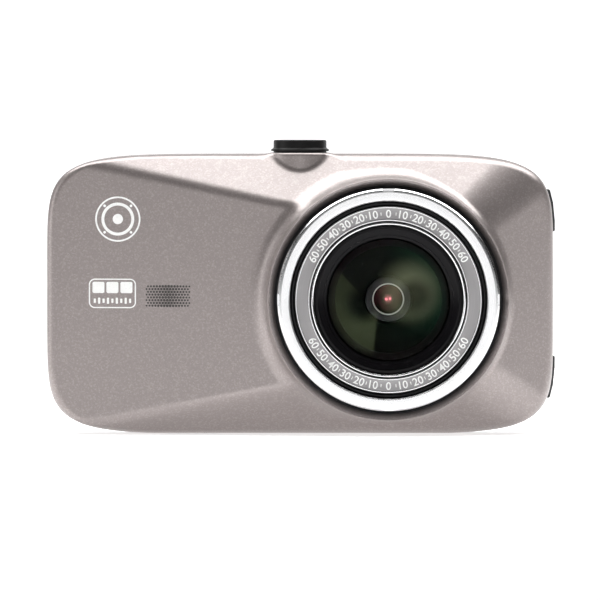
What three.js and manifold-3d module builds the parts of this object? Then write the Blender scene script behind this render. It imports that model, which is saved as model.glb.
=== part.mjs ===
// Dash camera: a two-part case with an off-centre wide-angle lens in front, a screen with a column of
// keys behind, two keys on the side and a turning stub on top for the windscreen bracket.
//
// Millimetres. +X points right when the lens faces the viewer, the lens looks along -Y and +Z is up.
// "depth" counts from the flat rear face of the case (0) towards the lens, so y = REAR_Y - depth.
import * as THREE from 'three';
import { mergeVertices } from 'three/addons/utils/BufferGeometryUtils.js';
import Module from 'manifold-3d';

const wasm = await Module();
wasm.setup();

// ---- driving dimensions -------------------------------------------------------------------------

const GAP = 0.3; // clearance between pieces that touch

const CASE_HALF_WIDTH = 51.5;
const CASE_HALF_HEIGHT = 28.5;
const CASE_EXPONENT = 6.4; // superellipse exponent of the case outline
const FOOT_CUT = 0.15; // slice taken off the bowed underside, which leaves the flat foot
const WALL = 2.0;
const OUTLINE_POINTS = 52;

const COVER_DEPTH = 4.7; // rear cover, from the rear face to the seam
const COVER_PLATE = 1.8; // thickness of the cover's rear wall
const COVER_ROUND = 3.5; // inset of the rounded rear edge at the rear face
const SHELL_START = COVER_DEPTH + GAP; // front shell, from the seam forwards
const LIP_INSET = WALL + GAP; // tongue of the cover, inside the shell's wall
const LIP_THICKNESS = 1.0;
const LIP_END = 6.2;

const FACET_BASE_DEPTH = 15.0; // where the four sloping facets leave the side walls
const FACET_TOP_DEPTH = 24.5; // where they meet the flat that carries the lens boss
const FACET_TOP = { left: -1.1, right: 36.5, bottom: 10.05, top: 46.25 };

const LENS_X = 17.9;
const LENS_Z = 27.4;
const BOSS_RADIUS = 24.5;
const BOSS_RIM_DEPTH = 28.0;
const BOSS_BORE_RADIUS = 22.95;
const BOSS_CHAMFER_DEPTH = 26.6; // foot of the chamfer between the rim and the bore
const SEAT_DEPTH = 25.2; // floor that the rings rest on
const SEAT_THICKNESS = 1.8;
const RING_START = SEAT_DEPTH + GAP;

const BEZEL = { inner: 20.0, outer: 22.7, front: 29.4, round: 0.5 };
const NOTCH = { width: 2.4, depth: 0.45, length: 2.0 };
const GROOVE = { inner: 19.2, outer: 19.7, front: 28.2 };
const NAME_RING = { inner: 15.95, outer: 18.9, front: 28.4 };
const TRIM = { inner: 15.2, outer: 15.65, front: 28.7 };
const CONE = { inner: 12.5, outer: 14.9, front: 27.9, lip: 26.7 };

const DOME_RADIUS = 12.2;
const DOME_APEX_DEPTH = 30.4;
const DOME_EDGE_DEPTH = 26.9;
const DOME_REAR_DEPTH = 24.3;
const DOME_REAR_RADIUS = 10.5;
const DOME_REAR_APEX = 28.4;

const BARREL_FRONT_RADIUS = 13.9;
const BARREL_REAR_RADIUS = 9.0;
const BARREL_REAR_DEPTH = 11.5;
const BARREL_BORE_RADIUS = 5.0;
const INNER_LENS_RADIUS = 4.7;

const BOARD_START = 5.6;
const BOARD_THICKNESS = 1.2;
const BOARD_INSET = 3.8;
const ON_BOARD = BOARD_START + BOARD_THICKNESS + GAP; // parts on the board's front side
const UNDER_BOARD = BOARD_START - GAP; // parts on the board's rear side

const COLLAR = { radius: 6.7, depth: 11.5, bottom: 51.0, top: 57.05, bore: 5.7 };
const TURRET = {
  radius: 5.4,
  skirtRadius: 5.9,
  skirtBottom: 57.35,
  skirtTop: 57.9,
  top: 59.65,
  bottom: 50.9,
};
const SLOT = { halfLength: 4.0, halfWidth: 2.3, neckBottom: 57.65, cavityRadius: 4.3, cavityBottom: 54.6 };

const WINDOW = { x: 8.0, width: 70.0, height: 41.0, corner: 1.6, recess: 1.4 };
const SCREEN_HOLE = { width: 66.0, height: 38.0 };
const PANEL = { width: 68.5, height: 40.4, start: 2.1, end: 4.1 };

const KEY_X = -36.0;
const KEY_PITCH = 7.6;
const KEY = { width: 9.0, height: 4.6, corner: 1.5, proud: 0.6, flange: 0.8 };
const KEY_NAMES = ['menu_key', 'mode_key', 'up_key', 'ok_key', 'down_key'];

const LIGHT = { z: 50.3, radius: 0.9, spacing: 5.0 };

const SIDE_KEY = { from: 12.65, to: 21.25, start: 8.0, end: 12.4, proud: 0.5, flange: 0.7 };

const USB = { bottom: 27.6, top: 35.3, start: ON_BOARD, end: 11.0, mouth: -50.9, back: -42.0, sheet: 0.4 };
const CARD = { mouth: -51.3, length: 15.0, bottom: 12.9, top: 23.9, start: 7.75, end: 8.45 };

const SCREW_SPOTS = [
  [38.0, 51.2],
  [38.0, 5.5],
  [-45.3, 48.0],
  [-45.3, 8.7],
];
const SCREW = { headRadius: 1.5, headStart: 0.25, headEnd: 1.3, shankRadius: 0.8, end: 12.0 };
const POST_RADIUS = 2.4;
const COVER_POST_RADIUS = 1.9;

const CASE_MID_Z = CASE_HALF_HEIGHT - FOOT_CUT;
const REAR_Y = (DOME_APEX_DEPTH - KEY.proud) / 2; // centres the whole part on y = 0
const RING_SEGMENTS = 48;
const OPTIC_SEGMENTS = 24;
const STUB_SEGMENTS = 32;
const SMALL_SEGMENTS = 16;
const SCREW_SEGMENTS = 12;

// ---- finishes -----------------------------------------------------------------------------------

function finish(color, roughness, metalness) {
  return new THREE.MeshStandardMaterial({ color, roughness, metalness });
}

const FINISH = {
  titaniumPaint: finish(0x9a9190, 0.42, 0.6),
  brightRing: finish(0xd8d9db, 0.22, 1.0),
  satinRing: finish(0xaaa8a8, 0.4, 0.8),
  blackPlastic: finish(0x141414, 0.5, 0.0),
  glossBlack: finish(0x0a0a0c, 0.12, 0.0),
  coatedGlass: finish(0x14301c, 0.03, 0.0),
  clearGlass: finish(0xbfd0cc, 0.05, 0.0),
  board: finish(0x14502c, 0.5, 0.1),
  chip: finish(0x202224, 0.45, 0.0),
  steel: finish(0xb8babd, 0.35, 1.0),
  copper: finish(0xb4713a, 0.4, 0.6),
  foil: finish(0xc7c9cc, 0.4, 0.7),
  smokedPlastic: finish(0xd8dcd8, 0.3, 0.0),
};

// ---- solids -------------------------------------------------------------------------------------

// Signed volume of an indexed triangle mesh, used to turn its faces outwards.
function signedVolume(positions, triangles) {
  let sum = 0;
  for (let i = 0; i < triangles.length; i += 3) {
    const [a, b, c] = [0, 1, 2].map((k) => new THREE.Vector3().fromArray(positions, 3 * triangles[i + k]));
    sum += a.dot(b.cross(c)) / 6;
  }
  return sum;
}

function toSolid(geometry) {
  geometry.deleteAttribute('normal');
  geometry.deleteAttribute('uv');
  const merged = mergeVertices(geometry, 1e-4);
  const positions = new Float32Array(merged.attributes.position.array);
  const triangles = [];
  for (let i = 0; i < merged.index.count; i += 3) {
    const [a, b, c] = [0, 1, 2].map((k) => merged.index.getX(i + k));
    if (a !== b && b !== c && c !== a) triangles.push(a, b, c);
  }
  if (signedVolume(positions, triangles) < 0) triangles.reverse();
  return new wasm.Manifold(
    new wasm.Mesh({ numProp: 3, vertProperties: positions, triVerts: new Uint32Array(triangles) }),
  );
}

function toMesh(name, material, body) {
  const { numProp, vertProperties, triVerts } = body.getMesh();
  const positions = new Float32Array((vertProperties.length / numProp) * 3);
  for (let i = 0; i < positions.length / 3; i += 1) {
    positions.set(vertProperties.subarray(i * numProp, i * numProp + 3), 3 * i);
  }
  const geometry = new THREE.BufferGeometry();
  geometry.setAttribute('position', new THREE.BufferAttribute(positions, 3));
  geometry.setIndex(new THREE.BufferAttribute(new Uint32Array(triVerts), 1));
  const mesh = new THREE.Mesh(geometry, material);
  mesh.name = name;
  return mesh;
}

// A block between two x, two depths and two z.
function block(x0, x1, depth0, depth1, z0, z1) {
  const geometry = new THREE.BoxGeometry(x1 - x0, depth1 - depth0, z1 - z0);
  geometry.translate((x0 + x1) / 2, REAR_Y - (depth0 + depth1) / 2, (z0 + z1) / 2);
  return toSolid(geometry);
}

// Turns a [radius, depth] profile about an axis along Y through (x, z).
function turned(profile, x = LENS_X, z = LENS_Z, segments = RING_SEGMENTS) {
  const points = profile.map(([radius, depth]) => new THREE.Vector2(radius, REAR_Y - depth));
  const geometry = new THREE.LatheGeometry(points, segments);
  geometry.translate(x, 0, z);
  return toSolid(geometry);
}

// Turns a [radius, z] profile about an axis along Z through (x, depth).
function turnedUpright(profile, x, depth, segments = SMALL_SEGMENTS) {
  const points = profile.map(([radius, z]) => new THREE.Vector2(radius, z));
  const geometry = new THREE.LatheGeometry(points, segments);
  geometry.rotateX(Math.PI / 2);
  geometry.translate(x, REAR_Y - depth, 0);
  return toSolid(geometry);
}

function ringProfile(inner, outer, start, end) {
  return [[inner, start], [outer, start], [outer, end], [inner, end], [inner, start]];
}

function rodProfile(radius, start, end) {
  return [[0, start], [radius, start], [radius, end], [0, end]];
}

function rod(radius, depth0, depth1, x, z, segments = SMALL_SEGMENTS) {
  return turned(rodProfile(radius, depth0, depth1), x, z, segments);
}

// Extrudes a closed list of [x, z] points from depth0 to depth1.
function prism(points, depth0, depth1) {
  const shape = new THREE.Shape(points.map(([x, z]) => new THREE.Vector2(x, z)));
  const geometry = new THREE.ExtrudeGeometry(shape, { depth: depth1 - depth0, bevelEnabled: false });
  geometry.rotateX(Math.PI / 2);
  geometry.translate(0, REAR_Y - depth0, 0);
  return toSolid(geometry);
}

// Joins outlines of equal point count, each { points, depth }, into one closed body.
function loft(rings) {
  const count = rings[0].points.length;
  const positions = [];
  const triangles = [];
  for (const { points, depth } of rings) {
    for (const [x, z] of points) positions.push(x, REAR_Y - depth, z);
  }
  for (let ring = 0; ring + 1 < rings.length; ring += 1) {
    for (let i = 0; i < count; i += 1) {
      const a = ring * count + i;
      const b = ring * count + ((i + 1) % count);
      triangles.push(a, b, b + count, a, b + count, a + count);
    }
  }
  const last = (rings.length - 1) * count;
  for (let i = 1; i + 1 < count; i += 1) {
    triangles.push(0, i + 1, i);
    triangles.push(last, last + i, last + i + 1);
  }
  const geometry = new THREE.BufferGeometry();
  geometry.setAttribute('position', new THREE.Float32BufferAttribute(positions, 3));
  geometry.setIndex(triangles);
  return toSolid(geometry);
}

function rectangle({ left, right, bottom, top }) {
  return [[left, bottom], [right, bottom], [right, top], [left, top]];
}

function roundedRectangle(x, z, width, height, corner, steps = 3) {
  const points = [];
  const centres = [[1, 1], [-1, 1], [-1, -1], [1, -1]];
  centres.forEach(([sx, sz], quarter) => {
    for (let i = 0; i <= steps; i += 1) {
      const angle = (Math.PI / 2) * (quarter + i / steps);
      points.push([
        x + sx * (width / 2 - corner) + corner * Math.cos(angle),
        z + sz * (height / 2 - corner) + corner * Math.sin(angle),
      ]);
    }
  });
  return points;
}

function signedPower(value) {
  return Math.sign(value) * Math.abs(value) ** (2 / CASE_EXPONENT);
}

// Case outline, grown outwards (or inwards when negative) by "grow", with its underside cut flat.
function outline(grow = 0) {
  const points = [];
  for (let i = 0; i < OUTLINE_POINTS; i += 1) {
    const angle = (2 * Math.PI * i) / OUTLINE_POINTS;
    const x = (CASE_HALF_WIDTH + grow) * signedPower(Math.cos(angle));
    const z = CASE_MID_Z + (CASE_HALF_HEIGHT + grow) * signedPower(Math.sin(angle));
    points.push([x, Math.max(z, -grow)]);
  }
  return points;
}

// ---- case ---------------------------------------------------------------------------------------

// Four-sided frustum of the front, drawn in by "inset" on every side.
function facets(inset) {
  const base = {
    left: inset - CASE_HALF_WIDTH,
    right: CASE_HALF_WIDTH - inset,
    bottom: inset,
    top: 2 * CASE_HALF_HEIGHT - inset,
  };
  const topInset = 0.6 * inset;
  const top = {
    left: FACET_TOP.left + topInset,
    right: FACET_TOP.right - topInset,
    bottom: FACET_TOP.bottom + topInset,
    top: FACET_TOP.top - topInset,
  };
  return loft([
    { points: rectangle(base), depth: 0 },
    { points: rectangle(base), depth: FACET_BASE_DEPTH - 0.3 * inset },
    { points: rectangle(top), depth: FACET_TOP_DEPTH - 1.05 * inset },
  ]);
}

function shellOutside() {
  const faceted = prism(outline(), SHELL_START, FACET_TOP_DEPTH + WALL).intersect(facets(0));
  const boss = turned([
    [0, FACET_BASE_DEPTH],
    [BOSS_RADIUS + 0.7, FACET_BASE_DEPTH],
    [BOSS_RADIUS + 0.3, FACET_TOP_DEPTH],
    [BOSS_RADIUS, BOSS_RIM_DEPTH - 0.4],
    [BOSS_RADIUS - 0.3, BOSS_RIM_DEPTH],
    [0, BOSS_RIM_DEPTH],
  ]);
  return faceted.add(boss);
}

function shellInside() {
  const room = prism(outline(-WALL), SHELL_START - 1, FACET_TOP_DEPTH + WALL).intersect(facets(WALL));
  return room.add(rod(20.5, 10, SEAT_DEPTH - SEAT_THICKNESS, LENS_X, LENS_Z, RING_SEGMENTS));
}

// Bore of the lens boss: chamfer, seat for the rings and the way through for the barrel.
function bossBore() {
  const through = BARREL_FRONT_RADIUS + GAP;
  return turned([
    [0, FACET_BASE_DEPTH],
    [through, FACET_BASE_DEPTH],
    [through, SEAT_DEPTH],
    [BOSS_BORE_RADIUS, SEAT_DEPTH],
    [BOSS_BORE_RADIUS, BOSS_CHAMFER_DEPTH],
    [BOSS_RADIUS - 0.3, BOSS_RIM_DEPTH],
    [BOSS_RADIUS - 0.3, BOSS_RIM_DEPTH + 1],
    [0, BOSS_RIM_DEPTH + 1],
  ]);
}

// Upright tube on top that guides the turning stub.
function collar() {
  const { radius, bottom, top, depth } = COLLAR;
  const section = [[0, bottom], [radius, bottom], [radius, top], [0, top]];
  const tube = turnedUpright(section, 0, depth, STUB_SEGMENTS);
  return tube.intersect(block(-10, 10, SHELL_START, 25, bottom - 1, top + 1));
}

function collarBore() {
  const { bore, bottom, top, depth } = COLLAR;
  const profile = [[0, bottom - 1.5], [bore, bottom - 1.5], [bore, top + 1], [0, top + 1]];
  return turnedUpright(profile, 0, depth, STUB_SEGMENTS);
}

// Openings in the left wall for the power plug and the memory card.
function socketWindows() {
  const usb = block(-54, -48, USB.start - GAP, USB.end + GAP, USB.bottom - GAP, USB.top + GAP);
  const card = block(-54, -48, CARD.start - 0.4, CARD.end + 0.4, CARD.bottom - 0.5, CARD.top + 0.5);
  return usb.add(card);
}

// Sound slots under the loudspeaker and the microphone's hole, all in the underside.
function soundHoles() {
  let holes = rodUpright(0.6, -1, 2.5, -4, 10.7);
  for (let i = 0; i < 6; i += 1) {
    const x = -26.5 + 1.8 * i;
    holes = holes.add(block(x - 0.45, x + 0.45, 8.3, 13.2, -1, 2.4));
  }
  return holes;
}

function rodUpright(radius, z0, z1, x, depth) {
  return turnedUpright([[0, z0], [radius, z0], [radius, z1], [0, z1]], x, depth);
}

function sideKeyWindow(sign) {
  const [z0, z1] = sideKeySpan(sign);
  return block(46, 54, SIDE_KEY.start - GAP, SIDE_KEY.end + GAP, z0 - GAP, z1 + GAP);
}

function sideKeySpan(sign) {
  const ends = [CASE_MID_Z + sign * SIDE_KEY.from, CASE_MID_Z + sign * SIDE_KEY.to];
  return [Math.min(...ends), Math.max(...ends)];
}

function frontShell() {
  const outside = shellOutside();
  let shell = outside.subtract(shellInside());
  for (const [x, z] of SCREW_SPOTS) {
    shell = shell.add(rod(POST_RADIUS, ON_BOARD, 22, x, z).intersect(outside));
  }
  shell = shell.add(collar()).subtract(collarBore()).subtract(bossBore());
  for (const [x, z] of SCREW_SPOTS) {
    shell = shell.subtract(rod(SCREW.shankRadius + 0.2, ON_BOARD - 1, SCREW.end + 1, x, z, SCREW_SEGMENTS));
  }
  shell = shell.subtract(sideKeyWindow(1)).subtract(sideKeyWindow(-1));
  shell = shell.subtract(socketWindows()).subtract(soundHoles());
  return toMesh('front_shell', FINISH.titaniumPaint, shell);
}

function coverOutside() {
  const edge = [[1, 0], [0.62, 0.5], [0.28, 1.6], [0.06, 3.2]];
  const rings = edge.map(([share, depth]) => ({ points: outline(-share * COVER_ROUND), depth }));
  rings.push({ points: outline(), depth: COVER_DEPTH });
  const lip = prism(outline(-LIP_INSET), COVER_PLATE, LIP_END);
  const lipGap = block(-9, 9, COVER_DEPTH, LIP_END + 1, 45, 60);
  return loft(rings).add(lip.subtract(lipGap));
}

function rearCover() {
  let cover = coverOutside();
  cover = cover.subtract(prism(outline(-LIP_INSET - LIP_THICKNESS), COVER_PLATE, LIP_END + 1));
  for (const [x, z] of SCREW_SPOTS) {
    cover = cover.add(rod(COVER_POST_RADIUS, COVER_PLATE - 0.5, UNDER_BOARD, x, z));
  }
  const { x, width, height, corner, recess } = WINDOW;
  cover = cover.subtract(prism(roundedRectangle(x, CASE_MID_Z, width, height, corner), -1, recess));
  const { width: holeWidth, height: holeHeight } = SCREEN_HOLE;
  const screenHole = roundedRectangle(x, CASE_MID_Z, holeWidth, holeHeight, 1);
  cover = cover.subtract(prism(screenHole, -1, COVER_PLATE + 1));
  for (const z of keyHeights()) {
    const hole = roundedRectangle(KEY_X, z, KEY.width + 2 * GAP, KEY.height + 2 * GAP, KEY.corner + GAP);
    cover = cover.subtract(prism(hole, -1, COVER_PLATE + 1));
  }
  for (const lightX of lightPositions()) {
    cover = cover.subtract(rod(LIGHT.radius + 0.2, -1, COVER_PLATE + 1, lightX, LIGHT.z, SCREW_SEGMENTS));
  }
  for (const [screwX, screwZ] of SCREW_SPOTS) {
    cover = cover.subtract(rod(SCREW.headRadius + GAP, -1, SCREW.headEnd + GAP, screwX, screwZ));
    cover = cover.subtract(rod(SCREW.shankRadius + GAP, 0, UNDER_BOARD + 1, screwX, screwZ, SCREW_SEGMENTS));
  }
  return toMesh('rear_cover', FINISH.blackPlastic, cover);
}

function caseScrews() {
  return SCREW_SPOTS.map(([x, z], index) => {
    const profile = [
      [0, SCREW.headStart],
      [SCREW.headRadius - 0.3, SCREW.headStart],
      [SCREW.headRadius, SCREW.headStart + 0.3],
      [SCREW.headRadius, SCREW.headEnd],
      [SCREW.shankRadius, SCREW.headEnd],
      [SCREW.shankRadius, SCREW.end - 0.5],
      [0.3, SCREW.end],
      [0, SCREW.end],
    ];
    const screw = turned(profile, x, z, SCREW_SEGMENTS);
    const cross = block(x - 0.8, x + 0.8, 0, SCREW.headStart + 0.55, z - 0.2, z + 0.2);
    const driver = cross.add(block(x - 0.2, x + 0.2, 0, SCREW.headStart + 0.55, z - 0.8, z + 0.8));
    return toMesh(`case_screw_${index + 1}`, FINISH.steel, screw.subtract(driver));
  });
}

// ---- lens ---------------------------------------------------------------------------------------

function bezelRing() {
  const { inner, outer, front, round } = BEZEL;
  let ring = turned([
    [inner, RING_START],
    [outer, RING_START],
    [outer, front - round],
    [outer - round, front],
    [inner + round, front],
    [inner, front - round],
    [inner, RING_START],
  ]);
  const reach = outer - NOTCH.depth;
  const half = NOTCH.width / 2;
  const cuts = [
    [-half, half, reach, reach + 2],
    [-half, half, -reach - 2, -reach],
    [reach, reach + 2, -half, half],
    [-reach - 2, -reach, -half, half],
  ];
  for (const [x0, x1, z0, z1] of cuts) {
    const cut = block(LENS_X + x0, LENS_X + x1, front - NOTCH.length, front + 1, LENS_Z + z0, LENS_Z + z1);
    ring = ring.subtract(cut);
  }
  return toMesh('lens_bezel_ring', FINISH.brightRing, ring);
}

function plainRing(name, material, { inner, outer, front }) {
  return toMesh(name, material, turned(ringProfile(inner, outer, RING_START, front)));
}

function lensCone() {
  const { inner, outer, front, lip } = CONE;
  const profile = [
    [inner, RING_START],
    [outer, RING_START],
    [outer, front],
    [outer - 0.4, front],
    [inner, lip],
    [inner, RING_START],
  ];
  return toMesh('lens_cone', FINISH.glossBlack, turned(profile));
}

// Points of a spherical cap's meridian, from the rim (radius, edge) to the axis (0, apex).
function capPoints(radius, edge, apex, steps) {
  const sag = apex - edge;
  const sphere = (radius * radius + sag * sag) / (2 * Math.abs(sag));
  const points = [];
  for (let i = 0; i <= steps; i += 1) {
    const r = radius * (1 - i / steps);
    const drop = sphere - Math.sqrt(sphere * sphere - r * r);
    points.push([r, apex - Math.sign(sag) * drop]);
  }
  return points;
}

function frontLens() {
  const outside = capPoints(DOME_RADIUS, DOME_EDGE_DEPTH, DOME_APEX_DEPTH, 6);
  const inside = capPoints(DOME_REAR_RADIUS, DOME_REAR_DEPTH, DOME_REAR_APEX, 4).reverse();
  const profile = [...inside, [DOME_RADIUS, DOME_REAR_DEPTH], ...outside];
  return toMesh('front_lens', FINISH.coatedGlass, turned(profile));
}

function lensBarrel() {
  const pocket = DOME_RADIUS + GAP;
  const pocketFloor = DOME_REAR_DEPTH - GAP;
  const profile = [
    [pocket, SEAT_DEPTH],
    [pocket, pocketFloor],
    [DOME_REAR_RADIUS - 0.2, pocketFloor],
    [BARREL_BORE_RADIUS, 20.2],
    [BARREL_BORE_RADIUS, BARREL_REAR_DEPTH],
    [BARREL_REAR_RADIUS, BARREL_REAR_DEPTH],
    [BARREL_REAR_RADIUS, 20.8],
    [BARREL_FRONT_RADIUS, 21.8],
    [BARREL_FRONT_RADIUS, SEAT_DEPTH],
    [pocket, SEAT_DEPTH],
  ];
  return toMesh('lens_barrel', FINISH.blackPlastic, turned(profile, LENS_X, LENS_Z, STUB_SEGMENTS));
}

function innerOptics() {
  const radius = INNER_LENS_RADIUS;
  const turnOptic = (profile) => turned(profile, LENS_X, LENS_Z, OPTIC_SEGMENTS);
  const ring = turnOptic(ringProfile(3.0, radius, 19.0, 20.0));
  const middleBack = capPoints(radius, 17.2, 16.5, 3).reverse();
  const middle = turnOptic([...middleBack, ...capPoints(radius, 17.6, 18.7, 3)]);
  const stop = turnOptic(ringProfile(1.1, radius, 15.7, 16.1));
  const rearBack = capPoints(radius, 13.2, 12.2, 3).reverse();
  const rear = turnOptic([...rearBack, ...capPoints(radius, 14.4, 15.3, 3)]);
  return [
    toMesh('inner_lens_ring', FINISH.satinRing, ring),
    toMesh('middle_lens', FINISH.clearGlass, middle),
    toMesh('aperture_disc', FINISH.blackPlastic, stop),
    toMesh('rear_lens', FINISH.clearGlass, rear),
  ];
}

// Square foot on the board with a sleeve around the barrel and a pocket over the image sensor.
function lensMount() {
  const half = 11;
  const sleeve = rod(half, ON_BOARD, 16, LENS_X, LENS_Z, STUB_SEGMENTS);
  let mount = block(LENS_X - half, LENS_X + half, ON_BOARD, 12, LENS_Z - half, LENS_Z + half).add(sleeve);
  const bore = BARREL_REAR_RADIUS + GAP;
  mount = mount.subtract(rod(bore, BARREL_REAR_DEPTH - GAP, 17, LENS_X, LENS_Z, STUB_SEGMENTS));
  mount = mount.subtract(rod(4.5, ON_BOARD, 12, LENS_X, LENS_Z));
  mount = mount.subtract(block(LENS_X - 5.5, LENS_X + 5.5, ON_BOARD - 1, 9.9, LENS_Z - 5.5, LENS_Z + 5.5));
  for (const [x, z] of lensScrewSpots()) {
    mount = mount.subtract(rod(0.95, ON_BOARD - 1, 13, x, z, SCREW_SEGMENTS));
  }
  return toMesh('lens_mount', FINISH.blackPlastic, mount);
}

function lensScrewSpots() {
  const reach = 9.2;
  return [[LENS_X - reach, LENS_Z + reach], [LENS_X + reach, LENS_Z - reach]];
}

function lensScrews() {
  return lensScrewSpots().map(([x, z], index) => {
    const profile = [[0, ON_BOARD], [0.65, ON_BOARD], [0.65, 12.3], [1.4, 12.3], [1.4, 13.2], [0, 13.2]];
    return toMesh(`lens_mount_screw_${index + 1}`, FINISH.steel, turned(profile, x, z, SCREW_SEGMENTS));
  });
}

function sensorStack() {
  const filter = block(LENS_X - 4, LENS_X + 4, 9.1, 9.6, LENS_Z - 4, LENS_Z + 4);
  const sensor = block(LENS_X - 4.5, LENS_X + 4.5, ON_BOARD, 8.4, LENS_Z - 4, LENS_Z + 4);
  return [toMesh('infrared_filter', FINISH.clearGlass, filter), toMesh('image_sensor', FINISH.chip, sensor)];
}

// ---- electronics --------------------------------------------------------------------------------

function mainBoard() {
  let board = prism(outline(-BOARD_INSET), BOARD_START, BOARD_START + BOARD_THICKNESS);
  board = board.subtract(block(-8.5, 8.5, 0, 10, 46.5, 60));
  for (const [x, z] of SCREW_SPOTS) board = board.subtract(rod(1.5, 0, 10, x, z, SCREW_SEGMENTS));
  return toMesh('main_board', FINISH.board, board);
}

function chips() {
  const room = block(-8.3, 6.1, ON_BOARD - 1, 9.3, 31.8, 45.7);
  const can = block(-8.6, 6.4, ON_BOARD, 9.6, 31.5, 46).subtract(room);
  return [
    toMesh('processor', FINISH.chip, block(-7, 5, ON_BOARD, 8.2, 33, 45)),
    toMesh('thermal_pad', FINISH.smokedPlastic, block(-6, 4, 8.4, 9.1, 34, 44)),
    toMesh('shield_can', FINISH.steel, can),
    toMesh('memory_chip', FINISH.chip, block(-7, 3, ON_BOARD, 8.1, 20, 28)),
    toMesh('power_coil', FINISH.copper, block(-6, 0, ON_BOARD, 9.6, 10, 16)),
  ];
}

function battery() {
  const cell = prism(roundedRectangle(-22, 24.5, 24, 31, 1.2), ON_BOARD, 11.6);
  return toMesh('battery', FINISH.foil, cell);
}

function soundParts() {
  const speaker = block(-30, -14, 7.5, 14, 2.6, 5.6);
  const cone = block(-28.6, -15.4, 8.4, 13.1, 2, 3.1);
  const microphone = rodUpright(2.0, 2.6, 4.4, -4, 10.7);
  return [
    toMesh('loudspeaker', FINISH.chip, speaker.subtract(cone)),
    toMesh('microphone', FINISH.foil, microphone),
  ];
}

// Metal socket with a closed back, an open mouth on the left and a tongue inside it.
function usbSocket() {
  const { mouth, back, start, end, bottom, top, sheet } = USB;
  const inside = block(mouth - 1, back - 1.5, start + sheet, end - sheet, bottom + sheet, top - sheet);
  const middle = (start + end) / 2;
  const tongue = block(mouth + 1.2, back - 1, middle - 0.5, middle + 0.5, bottom + 1.4, top - 1.4);
  const socket = block(mouth, back, start, end, bottom, top).subtract(inside).add(tongue);
  return toMesh('usb_socket', FINISH.steel, socket);
}

function cardSocket() {
  const side = 0.5;
  const inside = block(-50, -35.6, CARD.start - GAP, CARD.end + GAP, CARD.bottom - side, CARD.top + side);
  const can = block(-48.9, -35.1, ON_BOARD, 9.1, CARD.bottom - 0.8, CARD.top + 0.8);
  return toMesh('card_socket', FINISH.steel, can.subtract(inside));
}

// Card with its stepped edge: the inner end is narrower than the end that is gripped.
function memoryCard() {
  const { mouth, length, bottom, top, start, end } = CARD;
  const points = [
    [mouth, bottom],
    [mouth + length, bottom],
    [mouth + length, top - 1.3],
    [mouth + length - 4.5, top - 1.3],
    [mouth + length - 5.5, top - 0.3],
    [mouth + length - 8.5, top - 0.3],
    [mouth + length - 9.0, top],
    [mouth, top],
  ];
  return toMesh('memory_card', FINISH.blackPlastic, prism(points, start, end));
}

// ---- screen -------------------------------------------------------------------------------------

function screenParts() {
  const { x, width, height, corner } = WINDOW;
  const pane = roundedRectangle(x, CASE_MID_Z, width - 2 * GAP, height - 2 * GAP, corner - GAP);
  const frameOuter = roundedRectangle(x, CASE_MID_Z, PANEL.width, PANEL.height, 0.6, 2);
  const frameInner = roundedRectangle(x, CASE_MID_Z, PANEL.width - 8, PANEL.height - 8, 0.6, 2);
  const frame = prism(frameOuter, 4.4, 4.8).subtract(prism(frameInner, 4, 5));
  const panel = block(
    x - PANEL.width / 2, x + PANEL.width / 2, PANEL.start, PANEL.end,
    CASE_MID_Z - PANEL.height / 2, CASE_MID_Z + PANEL.height / 2,
  );
  return [
    toMesh('screen_window', FINISH.glossBlack, prism(pane, 0.2, 1.1)),
    toMesh('screen_panel', FINISH.chip, panel),
    toMesh('screen_frame', FINISH.steel, frame),
    toMesh('screen_flex', FINISH.copper, block(-2, 18, 5.05, 5.25, 12, 27)),
  ];
}

// ---- keys and lights ----------------------------------------------------------------------------

function keyHeights() {
  return KEY_NAMES.map((_, index) => CASE_MID_Z + KEY_PITCH * (2 - index));
}

function rearKeys() {
  const { width, height, corner, proud, flange } = KEY;
  return keyHeights().map((z, index) => {
    const cap = prism(roundedRectangle(KEY_X, z, width, height, corner), 0.35 - proud, 2.4);
    const crown = prism(roundedRectangle(KEY_X, z, width - 0.7, height - 0.7, corner - 0.3), -proud, 0.5);
    const grip = roundedRectangle(KEY_X, z, width + 2 * flange, height + 2 * flange, corner);
    const base = prism(grip, COVER_PLATE + GAP, 2.9);
    const stem = rod(1.2, 2.5, 3.4, KEY_X, z, SCREW_SEGMENTS);
    return toMesh(KEY_NAMES[index], FINISH.titaniumPaint, cap.add(crown).add(base).add(stem));
  });
}

function rearSwitches() {
  return keyHeights().map((z, index) => {
    const body = block(KEY_X - 2.2, KEY_X + 2.2, 4.4, UNDER_BOARD, z - 1.6, z + 1.6);
    const plunger = rod(1.0, 3.95, 4.6, KEY_X, z, SCREW_SEGMENTS);
    return toMesh(KEY_NAMES[index].replace('_key', '_switch'), FINISH.steel, body.add(plunger));
  });
}

function lightPositions() {
  return [KEY_X - LIGHT.spacing / 2, KEY_X + LIGHT.spacing / 2];
}

function statusLights() {
  const names = ['power_light', 'record_light'];
  return lightPositions().flatMap((x, index) => {
    const stem = rod(LIGHT.radius, -0.1, 3.6, x, LIGHT.z, SCREW_SEGMENTS);
    const pipe = stem.add(rod(1.6, COVER_PLATE + GAP, 2.7, x, LIGHT.z, SCREW_SEGMENTS));
    const diode = block(x - 0.8, x + 0.8, 4.5, UNDER_BOARD, LIGHT.z - 0.6, LIGHT.z + 0.6);
    return [
      toMesh(`${names[index]}_pipe`, FINISH.smokedPlastic, pipe),
      toMesh(`${names[index]}_diode`, FINISH.smokedPlastic, diode),
    ];
  });
}

// A slice of the case outline between two insets, cut to a block.
function outlineBand(outer, inner, start, end, z0, z1) {
  const band = prism(outline(outer), start, end).subtract(prism(outline(inner), start - 1, end + 1));
  return band.intersect(block(40, 56, start, end, z0, z1));
}

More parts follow.
